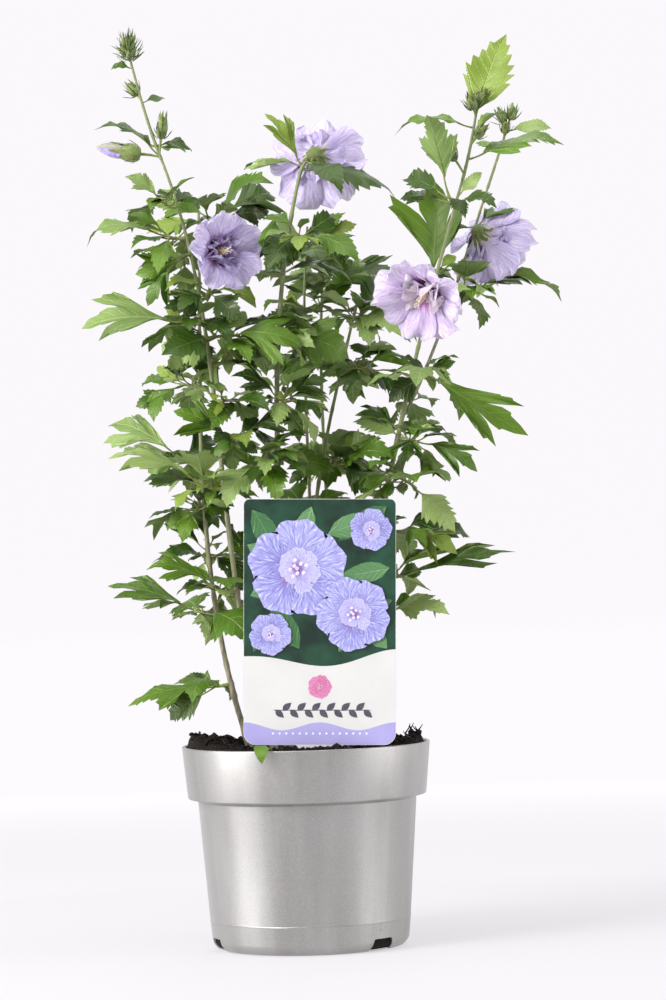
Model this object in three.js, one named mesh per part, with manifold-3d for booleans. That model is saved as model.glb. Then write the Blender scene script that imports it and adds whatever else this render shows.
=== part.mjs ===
import * as THREE from 'three';
import { mergeVertices } from 'three/addons/utils/BufferGeometryUtils.js';
import Module from 'manifold-3d';

// A rose of sharon in bloom, in a round nursery pot with a plant label stuck in its compost.
// Millimetres and degrees, +Z up. The origin is the middle of the pot's flat underside and
// the label faces -Y. Headings turn anticlockwise from +X, seen from above, and pitches rise
// from level. Every stem, twig and leaf is worked out from the named sizes below.

const wasm = await Module();
wasm.setup();

const GAP = 0.3; // between pieces that touch on the real plant

const POT = { height: 155.5, rim: 95, collar: 40, collarFoot: 91.2, shoulder: 83.8, base: 75,
  edge: 5, wall: 1.6, lip: 2.6, sides: 32 };
const NOTCH = { foot: 24, top: 19, height: 10, under: 1, depth: 16, inset: 9, headings: [77, 197, 317] };

const SOIL = { flat: 152, flatRadius: 52, slope: 30, lump: 3, sink: 0.3, ease: 0.3, sides: 24,
  rings: [0.93, 0.8],
  heaps: [{ heading: 182, spread: 46, height: 13 }, { heading: 353, spread: 18, height: 11 }] };

const LABEL = { width: 114, height: 184, thickness: 0.8, x: 11, y: -74, foot: 158.2, lean: 1.6,
  corner: 9, topCorner: 4.5, stakeWidth: 34, stakeDepth: 62, taper: 0.8, cornerSteps: 4 };

// Stems: x, y, z of a cubic curve's foot, two handles and tip, then foot and tip radius.
// A foot with no z stands on the compost; a foot that names a stem leaves it at that height.
const STEMS = {
  left_outer: { foot: [-42, -14], handles: [[-86, -14, 290], [-72, 10, 434]], tip: [-72, 38, 566],
    radii: [2.6, 1.2] },
  left_tall: { foot: [-24, -10], handles: [[-71, -32, 303], [-45, -40, 462]], tip: [-97, -30, 603],
    radii: [2.8, 1.2] },
  centre_left: { foot: [-13, 10], handles: [[-10, -17, 302], [-29, -25, 451]], tip: [8, -25, 590],
    radii: [3.4, 1.6] },
  centre: { foot: [3, 26], handles: [[17, 34, 290], [-1, 44, 423]], tip: [12, 46, 554],
    radii: [2.0, 1.0] },
  back: { foot: [16, 40], handles: [[32, 60, 283], [11, 82, 403]], tip: [24, 92, 528],
    radii: [2.2, 1.1] },
  centre_right: { foot: [16, 4], handles: [[-12, 0, 273], [20, 6, 386]], tip: [49, 10, 493],
    radii: [2.4, 1.2] },
  right: { foot: [32, -12], handles: [[53, -12, 303], [87, -20, 442]], tip: [131, -26, 581],
    radii: [3.0, 1.3] },
  right_outer: { from: ['right', 408, 50], handles: [[114, 20, 464], [132, 42, 522]],
    tip: [153, 52, 580], radii: [1.6, 1.1] },
};
const STEM = { sides: 6, steps: 10, flare: 0.5, flareHeight: 9, spacing: 5, halvings: 40 };

// Leafy shoots on each stem: height, heading, pitch, reach of the leading leaf, its roll towards
// the front, and the number of leaves.
const SHOOTS = {
  left_tall: [
    [567, 195, 48, 40, 65, 4], [543, 185, 22, 82, 30, 4], [530, 220, -38, 48, 55, 4],
    [495, 310, 60, 28, 60, 4], [478, 200, 10, 80, 45, 5], [466, 335, 5, 66, 60, 5],
    [446, 30, 15, 46, 30, 4], [418, 320, 0, 44, 40, 4], [387, 345, 30, 46, 55, 6],
    [352, 195, 34, 80, 40, 5], [273, 205, 35, 66, 40, 5],
  ],
  left_outer: [
    [560, 20, 30, 72, 60, 6], [473, 275, -35, 46, 60, 4], [432, 155, 15, 46, 30, 4],
    [372, 160, 35, 86, 50, 5], [338, 250, -25, 38, 40, 5], [298, 100, 70, 58, 40, 6],
    [258, 175, 25, 82, 35, 4], [203, 190, 0, 76, 35, 3],
  ],
  centre_left: [
    [543, 315, -5, 64, 40, 5], [471, 105, -10, 68, 40, 5], [414, 290, 45, 60, 60, 6],
    [376, 225, -25, 54, 40, 6],
  ],
  centre: [[540, 75, 5, 54, 30, 6], [488, 20, 50, 68, 65, 5], [330, 95, 25, 60, 20, 5]],
  back: [[515, 65, 60, 60, 20, 6], [450, 110, 30, 68, 20, 6], [372, 50, 25, 66, 20, 6]],
  centre_right: [[480, 65, 35, 60, 30, 6], [446, 330, -20, 50, 50, 6], [367, 315, 20, 60, 65, 6]],
  right: [
    [563, 235, 66, 74, 65, 4], [506, 100, 70, 88, 0, 3], [437, 345, -20, 100, 60, 4],
    [417, 80, -10, 60, 30, 5], [387, 325, -10, 62, 50, 5], [359, 340, -40, 54, 45, 6],
    [317, 15, 5, 68, 35, 5], [280, 350, 15, 108, 45, 4], [255, 325, 10, 64, 40, 4],
  ],
  right_outer: [[500, 0, 20, 90, 30, 5]],
};
const SHOOT = { spur: 4, node: 2.6, rise: 0.4, footRadius: 1.5, tipRadius: 0.9, sides: 4, steps: 2 };
// The leading leaf stands at `lead` of the shoot and its petiole and blade are shares of its reach.
const LEADING = { lead: 0.97, petiole: 0.16, blade: 0.74 };
// The other leaves fan out to both sides of it, lower and lower along the shoot.
const SIDE = { along: 0.8, petiole: 0.25, fan: 68, jitter: 30, length: 40, share: 0.3, reach: 60,
  spread: 22, lowest: -20, rise: 60, facing: 50, bias: 0.2 };
const SPRAY = { steps: 4, pedicel: 0.9, pedicelEnd: 1 };

// Sprays that carry blooms or buds. Each twig leaves a stem at a height, or goes on from its tip,
// and its items stand at a share of the way along it.
// leaf: share, heading, pitch, reach, roll. bud: share, heading, pitch, pedicel, length, radius.
// bloom: share, heading, pitch, radius. tuft: share, heading, pitch, length.
const SPRAYS = {
  bud_spray_left: { stem: 'left_tall', heading: 196, pitch: 77, length: 82, items: [
    ['bud', 0.02, 184, 10, 15, 35, 8], ['leaf', 0.04, 170, 48, 62, 10],
    ['bud', 0.05, 300, 76, 12, 22, 5.5], ['leaf', 0.16, 12, 12, 34, 40],
    ['leaf', 0.1, 80, 20, 36, 20], ['bud', 0.62, 160, 52, 5, 15, 5.5],
    ['leaf', 0.6, 5, 22, 20, 40], ['leaf', 0.9, 185, 15, 18, 40],
    ['tuft', 1, 180, 84, 24]] },
  bud_spray_right: { stem: 'right', heading: 0, pitch: 80, length: 53, items: [
    ['leaf', 0.95, 8, 72, 76, 65], ['leaf', 0.8, 184, 20, 68, 20],
    ['leaf', 0.35, 5, 22, 82, 25], ['leaf', 0.6, 100, 35, 52, 10],
    ['bud', 0.95, 240, 60, 5, 15, 5.5], ['bud', 1, 330, 66, 6, 14, 5],
    ['bud', 0.55, 320, 45, 8, 15, 5], ['bud', 0.1, 200, 58, 12, 13, 4.5]] },
  bud_spray_outer: { stem: 'right_outer', heading: 10, pitch: 70, length: 54, items: [
    ['leaf', 0.9, 355, 12, 38, 50], ['leaf', 0.6, 95, 25, 50, 10],
    ['bud', 0.95, 200, 60, 4, 14, 5], ['bud', 1, 20, 72, 3, 14, 5.5],
    ['bud', 0.8, 280, 50, 5, 13, 4.5]] },
  bloom_top: { stem: 'centre_left', heading: 330, pitch: 30, length: 20, items: [
    ['bloom', 1, 70, -15, 39], ['leaf', 0.3, 195, 62, 52, 60], ['leaf', 0.6, 303, -15, 56, 20],
    ['leaf', 0.2, 355, -2, 84, 20], ['leaf', 0.35, 155, 20, 55, 10]] },
  bloom_left: { stem: 'centre_left', height: 512, heading: 203, pitch: 27, length: 58, items: [
    ['bloom', 1, 305, 0, 31], ['leaf', 0.1, 345, 18, 66, 20], ['leaf', 0.15, 100, 15, 50, 10]] },
  bloom_centre: { stem: 'right', height: 485, heading: 272, pitch: 42, length: 38, items: [
    ['bloom', 1, 240, -35, 37], ['leaf', 0.2, 315, 30, 44, 40], ['leaf', 0.15, 225, -20, 36, 40]] },
  bloom_right: { stem: 'right_outer', height: 550, heading: 270, pitch: -30, length: 20, items: [
    ['bloom', 1, 20, -35, 38], ['leaf', 0.5, 38, 35, 44, 20], ['leaf', 0.4, 178, -5, 44, 10]] },
};

// A blade is a row of stations: share along the midrib, share along the edge, half width.
const LEAF = { thick: 1.3, stalk: 1.9, droop: [22, 38], wide: [0.85, 0.35], stations: [
  [0, 0, 0.014], [0.32, 0.46, 0.33], [0.54, 0.58, 0.18], [1, 1, 0]] };
const PETAL = { thick: 1.1, stalk: 1.6, stations: [
  [0, 0, 0.05], [0.6, 0.56, 0.4], [0.9, 0.84, 0.44], [1, 1, 0]] };
const SCALE = { thick: 1.2, stalk: 1.2, stations: [[0, 0, 0.06], [0.45, 0.45, 0.1], [1, 1, 0]] };
const BLOOM = { petals: 5, turn: 90, open: 28, spread: 62, twist: 10, petal: 1.12, claw: 1, seat: 3,
  inners: 3, innerTurn: 30, inner: 0.55, innerOpen: 4, innerWidth: 0.8,
  cup: 6.5, column: 0.55, columnRadius: 3 };
const TUFT = { scales: 6, seat: 2, lean: 62, share: 0.75, claw: 3, curl: -18, core: [0.8, 0.2] };

// Half outlines of the turned bodies: share of the radius, share of the length.
const TURNED = {
  bud: [[0, 0], [0.72, 0.12], [1, 0.42], [0.62, 0.76], [0, 1]],
  cup: [[0, -0.35], [0.6, -0.25], [1, 0.3], [0, 0.5]],
  column: [[0, 0], [0.6, 0.02], [1, 0.6], [0, 1]],
};
const TURNED_SIDES = 5;

// A leaf is only set where its probes keep clear of what already stands there.
const CLEAR = { leaf: 7.5, stem: 6.5, stalk: 3.5, sibling: 4, nearRoot: 6, pot: 7, shrink: 0.94,
  leadTurns: [0, 10, -10, 20, -20, 30], turns: [0, 26, -26, 52, -52, 85] };
const PROBES = [[-0.12, 0], [0.1, 0], [0.28, 0.12], [0.28, -0.12], [0.45, 0.28], [0.45, -0.28],
  [0.5, 0], [0.68, 0.12], [0.68, -0.12], [0.84, 0], [1, 0]];

const COLOURS = { pot: 0xb9bbbd, soil: 0x2a211c, label: 0xdcdce4, bark: 0x6d6450,
  leafDark: 0x35571f, leafLight: 0x8aa84a, bloom: 0xb3a3dc, bud: 0x9cab6a };

const UP = new THREE.Vector3(0, 0, 1);
const rad = THREE.MathUtils.degToRad;
const vec = (x, y, z) => new THREE.Vector3(x, y, z);

// A repeatable number from 0 to 1 for each spray, leaf and trait.
function noise(spray, leaf, trait) {
  const wave = Math.sin(spray * 127.1 + leaf * 311.7 + trait * 74.7) * 43758.5453;
  return wave - Math.floor(wave);
}

function direction(heading, pitch) {
  const flat = Math.cos(rad(pitch));
  return vec(flat * Math.cos(rad(heading)), flat * Math.sin(rad(heading)), Math.sin(rad(pitch)));
}

// ---- Solids ----

function solid(geometry) {
  const bare = geometry.clone();
  bare.deleteAttribute('normal');
  bare.deleteAttribute('uv');
  const merged = mergeVertices(bare, 1e-4);
  return new wasm.Manifold(new wasm.Mesh({
    numProp: 3,
    vertProperties: new Float32Array(merged.attributes.position.array),
    triVerts: new Uint32Array(merged.index.array),
  }));
}

function geometryOf(body) {
  const mesh = body.getMesh();
  const geometry = new THREE.BufferGeometry();
  geometry.setAttribute('position', new THREE.BufferAttribute(mesh.vertProperties, 3));
  geometry.setIndex(new THREE.BufferAttribute(mesh.triVerts, 1));
  geometry.computeVertexNormals();
  return geometry;
}

function fuse(geometries) {
  return geometries.map(solid).reduce((whole, piece) => whole.add(piece));
}

// Moves every corner of a geometry to where `place` puts it.
function reshape(geometry, place) {
  const position = geometry.attributes.position;
  const corner = new THREE.Vector3();
  for (let i = 0; i < position.count; i += 1) {
    const moved = place(corner.fromBufferAttribute(position, i));
    position.setXYZ(i, moved.x, moved.y, moved.z);
  }
  return geometry;
}

// A round limb along a curve; radiusAt gives its radius at each share of the way.
function limb(curve, radiusAt, sides, steps, level = false) {
  const frames = curve.computeFrenetFrames(steps, false);
  if (level) {
    frames.binormals[0] = UP.clone().cross(frames.normals[0]).normalize();
    frames.normals[0] = frames.binormals[0].clone().cross(UP);
  }
  return reshape(new THREE.CylinderGeometry(1, 1, 1, sides, steps), (corner) => {
    const step = Math.round((corner.y + 0.5) * steps);
    const radius = radiusAt(step / steps);
    return curve.getPoint(step / steps)
      .addScaledVector(frames.normals[step], corner.z * radius)
      .addScaledVector(frames.binormals[step], corner.x * radius);
  });
}

// ---- Blades: leaves, petals and scales ----

// The blade's own axes: along the midrib, across it and up out of its upper face.
function bladeFrame(leaf) {
  const along = direction(leaf.heading, leaf.pitch);
  const level = UP.clone().cross(along).normalize();
  const above = along.clone().cross(level);
  const roll = rad(leaf.roll);
  const across = level.clone().multiplyScalar(Math.cos(roll)).addScaledVector(above, Math.sin(roll));
  return { along, across, above: along.clone().cross(across) };
}

// A point of the bent blade, from its distances along, across and above the midrib.
function onBlade(leaf, frame, along, across, above) {
  const bend = rad(leaf.droop) * Math.max(along, 0) / leaf.length;
  const reach = leaf.length / rad(leaf.droop);
  const forward = Math.min(along, 0) + (reach + above) * Math.sin(bend);
  const rise = (reach + above) * Math.cos(bend) - reach;
  return leaf.root.clone()
    .addScaledVector(frame.along, leaf.petiole + forward)
    .addScaledVector(frame.across, across)
    .addScaledVector(frame.above, rise);
}

// A blade is three-sided: two edges and a ridge along the upper face. It starts with its stalk.
function bladeGeometry(leaf, form) {
  const frame = bladeFrame(leaf);
  const last = form.stations.length;
  return reshape(new THREE.CylinderGeometry(0, 1, 1, 3, last), (corner) => {
    const station = Math.round((corner.y + 0.5) * last) - 1;
    const side = Math.abs(corner.x) > 0.01 ? -Math.sign(corner.x) : 0;
    const ridge = side === 0 && corner.z > 0.01;
    const stalk = form.stalk / 2;
    if (station <= 0) {
      const depth = ridge ? stalk : -stalk / 2;
      return onBlade(leaf, frame, station * leaf.petiole, side * stalk, side || ridge ? depth : 0);
    }
    const [mid, edge, half] = form.stations[station];
    const tip = station === last - 1;
    return onBlade(leaf, frame, (side ? edge : mid) * leaf.length, side * half * leaf.width * leaf.length,
      ridge && !tip ? form.thick : 0);
  });
}

function bladeProbes(leaf) {
  const frame = bladeFrame(leaf);
  return PROBES.map(([along, across]) => onBlade(leaf, frame, along * leaf.length,
    across * leaf.width * leaf.length, 0));
}

// ---- Pot, compost and label ----

function potGeometry() {
  const { height, rim, collar, collarFoot, shoulder, base, edge, wall, lip } = POT;
  const step = height - collar;
  const profile = [[0, 0], [base - edge, 0], [base, edge], [shoulder, step], [collarFoot, step],
    [rim, height], [rim - lip, height], [collarFoot - wall, step + wall],
    [shoulder - wall, step - 2 * wall], [base - wall, edge], [base - edge, wall], [0, wall]];
  const shell = new THREE.LatheGeometry(profile.map(([x, y]) => new THREE.Vector2(x, y)), POT.sides,
    Math.PI / POT.sides);
  const outline = new THREE.Shape([[-NOTCH.foot / 2, -NOTCH.under], [NOTCH.foot / 2, -NOTCH.under],
    [NOTCH.top / 2, NOTCH.height], [-NOTCH.top / 2, NOTCH.height]]
    .map(([x, y]) => new THREE.Vector2(x, y)));
  let body = solid(shell.rotateX(Math.PI / 2));
  for (const heading of NOTCH.headings) {
    const cutter = new THREE.ExtrudeGeometry(outline, { depth: NOTCH.depth, bevelEnabled: false })
      .rotateX(Math.PI / 2)
      .rotateZ(rad(heading + 90))
      .translate(...direction(heading, 0).multiplyScalar(base - NOTCH.inset).toArray());
    body = body.subtract(solid(cutter));
  }
  return geometryOf(body);
}

// Height of the compost above its flat middle.
function soilRise(x, y, turn) {
  const share = Math.min(1, Math.max(0, (Math.hypot(x, y) - SOIL.flatRadius) / SOIL.slope));
  const heading = (Math.atan2(y, x) * 180 / Math.PI + 360) % 360;
  const heaped = SOIL.heaps.map((heap) => heap.height
    * Math.exp(-(((heading - heap.heading) / heap.spread) ** 2)));
  return share * (Math.max(...heaped) + SOIL.lump * (noise(turn, share * 3, 5) - SOIL.sink));
}

function soilGeometry() {
  const { wall, base, edge, shoulder, rim, lip, collarFoot, height, collar } = POT;
  const step = height - collar;
  const off = wall + GAP;
  const top = SOIL.flat;
  const rimInside = rim - lip - (rim - collarFoot) * (height - top) / collar - GAP - SOIL.ease;
  const profile = [[0, off], [base - edge - GAP, off], [base - off, edge + GAP],
    [shoulder - off, step - 2 * wall], [collarFoot - off - SOIL.ease, step + wall + GAP], [rimInside, top],
    ...SOIL.rings.map((ring) => [rimInside * ring, top]), [SOIL.flatRadius, top], [0, top]];
  const body = new THREE.LatheGeometry(profile.map(([x, y]) => new THREE.Vector2(x, y)), SOIL.sides)
    .rotateX(Math.PI / 2);
  reshape(body, (corner) => {
    const radius = Math.hypot(corner.x, corner.y);
    const turn = Math.round(Math.atan2(corner.y, corner.x) / (2 * Math.PI) * SOIL.sides + SOIL.sides)
      % SOIL.sides;
    const raised = Math.abs(corner.z - top) < 0.01 && radius < rimInside - 1;
    return vec(corner.x, corner.y, raised ? top + soilRise(corner.x, corner.y, turn) : corner.z);
  });
  const slot = new THREE.BoxGeometry(LABEL.stakeWidth + 2 * GAP, LABEL.thickness + 2 * GAP,
    2 * LABEL.stakeDepth)
    .rotateY(rad(LABEL.lean))
    .translate(LABEL.x, LABEL.y, LABEL.foot - GAP);
  return geometryOf(solid(body).subtract(solid(slot)));
}

function labelGeometry() {
  const { width, height, thickness, corner, topCorner, stakeWidth, stakeDepth } = LABEL;
  const side = width / 2;
  const stake = stakeWidth / 2;
  const outline = new THREE.Shape();
  outline.moveTo(stake, 0);
  outline.lineTo(side - corner, 0);
  outline.absarc(side - corner, corner, corner, -Math.PI / 2, 0);
  outline.lineTo(side, height - topCorner);
  outline.absarc(side - topCorner, height - topCorner, topCorner, 0, Math.PI / 2);
  outline.lineTo(topCorner - side, height);
  outline.absarc(topCorner - side, height - topCorner, topCorner, Math.PI / 2, Math.PI);
  outline.lineTo(-side, corner);
  outline.absarc(corner - side, corner, corner, Math.PI, Math.PI * 1.5);
  outline.lineTo(-stake, 0);
  outline.lineTo(-stake * LABEL.taper, -stakeDepth);
  outline.lineTo(stake * LABEL.taper, -stakeDepth);
  return new THREE.ExtrudeGeometry(outline, { depth: thickness, bevelEnabled: false,
    curveSegments: LABEL.cornerSteps })
    .translate(0, 0, -thickness / 2)
    .rotateX(Math.PI / 2)
    .rotateY(rad(LABEL.lean))
    .translate(LABEL.x, LABEL.y, LABEL.foot);
}

// ---- Stems ----

function stemRadius(stem, share) {
  const [foot, tip] = stem.radii;
  const height = share * (stem.curve.v3.z - stem.curve.v0.z);
  const flare = stem.from ? 0 : STEM.flare * Math.exp(-height / STEM.flareHeight);
  return (foot + (tip - foot) * share) * (1 + flare);
}

// The share of the way along a stem at which it reaches a height.
function shareAt(stem, height) {
  let low = 0;
  let high = 1;
  for (let i = 0; i < STEM.halvings; i += 1) {
    const middle = (low + high) / 2;
    if (stem.curve.getPoint(middle).z < height) low = middle;
    else high = middle;
  }
  return (low + high) / 2;
}

// Where a side twig leaves a stem, square to the bark, and which way it sets off.
function leave(stem, height, heading) {
  const share = shareAt(stem, height);
  const axis = stem.curve.getTangent(share);
  const away = direction(heading, 0);
  away.addScaledVector(axis, -away.dot(axis)).normalize();
  const start = stem.curve.getPoint(share).addScaledVector(away, stemRadius(stem, share) + GAP);
  return { start, away };
}

const stems = {};
for (const [name, size] of Object.entries(STEMS)) {
  let foot = vec(size.foot?.[0], size.foot?.[1], SOIL.flat + GAP);
  if (size.from) {
    const { start, away } = leave(stems[size.from[0]], size.from[1], size.from[2]);
    foot = start.addScaledVector(away, size.radii[0]);
  }
  const handles = size.handles.map((point) => vec(...point));
  const curve = new THREE.CubicBezierCurve3(foot, handles[0], handles[1], vec(...size.tip));
  stems[name] = { ...size, name, curve };
}

// ---- Shoots and sprays ----

const standing = [];
for (const stem of Object.values(stems)) {
  const steps = Math.ceil(stem.curve.getLength() / STEM.spacing);
  for (let i = 0; i <= steps; i += 1) {
    standing.push({ point: stem.curve.getPoint(i / steps), owner: 'stem' });
  }
}

function nearPot(point) {
  const inLabel = Math.abs(point.y - LABEL.y) < CLEAR.pot
    && Math.abs(point.x - LABEL.x) < LABEL.width / 2 + CLEAR.pot
    && point.z < LABEL.foot + LABEL.height + CLEAR.pot;
  const overPot = Math.hypot(point.x, point.y) < POT.rim + CLEAR.pot
    && point.z < POT.height + SOIL.heaps[0].height + CLEAR.pot;
  return inLabel || overPot || point.z < CLEAR.pot;
}

function isClear(leaf, owner) {
  return bladeProbes(leaf).every((probe, i) => !nearPot(probe) && standing.every((other) => {
    const room = probe.distanceTo(other.point);
    if (other.owner === 'stem') return room >= (i === 0 ? CLEAR.stalk : CLEAR.stem);
    if (other.owner !== owner) return room >= CLEAR.leaf;
    return i < CLEAR.nearRoot || room >= CLEAR.sibling;
  }));
}

function place(spray, leaf) {
  spray.blades.push(leaf);
  for (const point of bladeProbes(leaf)) standing.push({ point, owner: spray.number });
}

// Sets a leaf as asked, or turned a little, or not at all where there is no room.
function tryPlace(spray, leaf, turns) {
  for (const turn of turns) {
    const turned = { ...leaf, heading: leaf.heading + turn };
    if (isClear(turned, spray.number)) {
      place(spray, turned);
      return;
    }
    leaf.length *= CLEAR.shrink;
  }
}

// A leaf that points sideways is rolled so that its upper face looks to the front.
function leafAt(spray, number, root, heading, pitch, petiole, length, facing) {
  const roll = facing * Math.cos(rad(heading));
  return { root, heading, pitch, petiole, length, roll, form: LEAF,
    droop: LEAF.droop[0] + LEAF.droop[1] * noise(spray.number, number, 1),
    width: LEAF.wide[0] + LEAF.wide[1] * noise(spray.number, number, 2) };
}

const sprays = [];

// A twig from the bark at a height, or going on from the stem's tip where it names no height.
function startSpray(name, stem, height, heading, pitch, length) {
  const onward = stem.curve.getTangent(1);
  const { start, away } = height === undefined
    ? { start: stem.curve.getPoint(1).addScaledVector(onward, GAP), away: onward }
    : leave(stem, height, heading);
  const middle = start.clone().addScaledVector(away, length * SHOOT.rise);
  const tip = middle.clone().addScaledVector(direction(heading, pitch), length * (1 - SHOOT.rise));
  const spray = { name, number: sprays.length, blades: [], bodies: [],
    curve: new THREE.QuadraticBezierCurve3(start, middle, tip),
    radii: [height === undefined ? stem.radii[1] : SHOOT.footRadius, SHOOT.tipRadius] };
  sprays.push(spray);
  return spray;
}

// Petals round an axis, in a cup that opens outwards, with smaller ones inside it.
function addBloom(spray, root, heading, pitch, radius) {
  const axis = direction(heading, pitch);
  const side = UP.clone().cross(axis).normalize();
  const up = axis.clone().cross(side);
  for (let i = 0; i < BLOOM.petals + BLOOM.inners; i += 1) {
    const inner = i >= BLOOM.petals;
    const turn = rad(inner ? i * 360 / BLOOM.inners + BLOOM.innerTurn
      : i * 360 / BLOOM.petals + BLOOM.turn);
    const out = side.clone().multiplyScalar(Math.cos(turn)).addScaledVector(up, Math.sin(turn));
    const open = rad(inner ? BLOOM.innerOpen : BLOOM.open);
    const along = axis.clone().multiplyScalar(Math.cos(open)).addScaledVector(out, Math.sin(open));
    const seat = root.clone().addScaledVector(out, inner ? 0 : BLOOM.seat);
    const petal = { root: seat, petiole: BLOOM.claw, form: PETAL,
      length: radius * BLOOM.petal * (inner ? BLOOM.inner : 1),
      droop: BLOOM.spread, width: inner ? BLOOM.innerWidth : 1 };
    petal.heading = Math.atan2(along.y, along.x) * 180 / Math.PI;
    petal.pitch = Math.asin(along.z) * 180 / Math.PI;
    const inward = axis.clone().addScaledVector(along, -axis.dot(along)).normalize();
    petal.roll = 0;
    const flat = bladeFrame(petal);
    const roll = Math.atan2(-inward.dot(flat.across), inward.dot(flat.above)) * 180 / Math.PI;
    petal.roll = roll + BLOOM.twist;
    place(spray, petal);
  }
  spray.bodies.push({ kind: 'cup', root, heading, pitch, length: BLOOM.cup * 2, radius: BLOOM.cup });
  spray.bodies.push({ kind: 'column', root, heading, pitch, length: radius * BLOOM.column,
    radius: BLOOM.columnRadius });
}

function addTuft(spray, root, heading, pitch, length) {
  const seat = root.clone().addScaledVector(direction(heading, pitch), -TUFT.seat);
  spray.bodies.push({ kind: 'bud', root, heading, pitch, length: length * TUFT.core[0],
    radius: length * TUFT.core[1] });
  for (let i = 0; i < TUFT.scales; i += 1) {
    place(spray, { root: seat, heading: heading + i * 360 / TUFT.scales, pitch: TUFT.lean,
      petiole: TUFT.claw, length: length * TUFT.share, droop: TUFT.curl, width: 1, roll: 0,
      form: SCALE });
  }
}

// Blooms, buds and leading leaves take their places first, then the smaller leaves fill in.
for (const [name, size] of Object.entries(SPRAYS)) {
  const spray = startSpray(name, stems[size.stem], size.height, size.heading, size.pitch, size.length);
  spray.colour = name.startsWith('bloom') ? COLOURS.bloom : COLOURS.bud;
  size.items.forEach(([kind, share, heading, pitch, ...sizes], number) => {
    const root = spray.curve.getPoint(share);
    if (kind === 'bloom') addBloom(spray, root, heading, pitch, sizes[0]);
    if (kind === 'tuft') addTuft(spray, root, heading, pitch, sizes[0]);
    if (kind === 'bud') {
      const [pedicel, length, radius] = sizes;
      spray.bodies.push({ kind, root, heading, pitch, pedicel, length, radius });
    }
    if (kind === 'leaf') {
      const [reach, roll] = sizes;
      place(spray, leafAt(spray, number, root, heading, pitch, reach * LEADING.petiole,
        reach * (LEADING.petiole / 2 + LEADING.blade), roll));
    }
  });
}
for (const [stemName, rows] of Object.entries(SHOOTS)) {
  rows.forEach(([height, heading, pitch, reach, roll, count], i) => {
    const length = SHOOT.spur + SHOOT.node * count;
    const spray = startSpray(`foliage_${stemName}_${i + 1}`, stems[stemName], height, heading, pitch,
      length);
    spray.row = { heading, reach, count };
    spray.colour = new THREE.Color(COLOURS.leafDark)
      .lerp(new THREE.Color(COLOURS.leafLight), noise(spray.number, 0, 9)).getHex();
    tryPlace(spray, leafAt(spray, 0, spray.curve.getPoint(LEADING.lead), heading, pitch,
      reach * LEADING.petiole, reach * LEADING.blade, roll), CLEAR.leadTurns);
  });
}
for (const spray of sprays.filter(({ row }) => row)) {
  const { heading, reach, count } = spray.row;
  for (let number = 1; number < count; number += 1) {
    const chance = (trait) => noise(spray.number, number, trait);
    const side = number % 2 === 1 ? 1 : -1;
    const turn = side * SIDE.fan * Math.ceil(number / 2) + SIDE.jitter * (chance(4) - 0.5);
    const length = SIDE.length + SIDE.share * (reach - SIDE.reach) + SIDE.spread * (chance(5) - 0.5);
    const pitch = SIDE.lowest + SIDE.rise * chance(6);
    const facing = SIDE.facing * (2 * chance(7) - SIDE.bias);
    const root = spray.curve.getPoint(1 - SIDE.along * number / count);
    tryPlace(spray, leafAt(spray, number, root, heading + turn, pitch, length * SIDE.petiole, length,
      facing), CLEAR.turns);
  }
}

// ---- Bodies of the sprays ----

// Buds, cups and columns are turned about their own axis, from its root to its tip.
function turnedGeometry(body) {
  const { kind, root, heading, pitch, length, radius } = body;
  const profile = TURNED[kind].map(([x, y]) => new THREE.Vector2(x * radius, y * length));
  const axis = direction(heading, pitch);
  const turn = new THREE.Quaternion().setFromUnitVectors(vec(0, 1, 0), axis);
  const start = root.clone().addScaledVector(axis, body.pedicel ?? 0);
  return new THREE.LatheGeometry(profile, TURNED_SIDES).applyQuaternion(turn).translate(...start.toArray());
}

function pedicelGeometry(body) {
  const tip = body.root.clone()
    .addScaledVector(direction(body.heading, body.pitch), body.pedicel + SPRAY.pedicelEnd);
  return limb(new THREE.LineCurve3(body.root, tip), () => SPRAY.pedicel, SHOOT.sides, 1);
}

function sprayGeometry(spray) {
  const [foot, tip] = spray.radii;
  const steps = spray.row ? SHOOT.steps : SPRAY.steps;
  const pieces = [limb(spray.curve, (share) => foot + (tip - foot) * share, SHOOT.sides, steps)];
  for (const body of spray.bodies) {
    pieces.push(turnedGeometry(body));
    if (body.pedicel) pieces.push(pedicelGeometry(body));
  }
  for (const leaf of spray.blades) pieces.push(bladeGeometry(leaf, leaf.form));
  return geometryOf(fuse(pieces));
}

// ---- The plant ----

const plant = new THREE.Group();

function addMesh(name, geometry, color, roughness = 0.6, metalness = 0) {
  const mesh = new THREE.Mesh(geometry, new THREE.MeshStandardMaterial({ color, roughness, metalness }));
  mesh.name = name;
  plant.add(mesh);
}

addMesh('pot', potGeometry(), COLOURS.pot, 0.4);
addMesh('compost', soilGeometry(), COLOURS.soil, 0.95);
addMesh('plant_label', labelGeometry(), COLOURS.label, 0.35);
for (const stem of Object.values(stems)) {
  addMesh(`stem_${stem.name}`, limb(stem.curve, (share) => stemRadius(stem, share), STEM.sides,
    STEM.steps, !stem.from), COLOURS.bark);
}
for (const spray of sprays) addMesh(spray.name, sprayGeometry(spray), spray.colour);

export default plant;
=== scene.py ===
import math
from dataclasses import dataclass, replace
from functools import cache

import bmesh
import bpy
import numpy as np
from mathutils import Matrix, Vector, noise as rough


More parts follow.
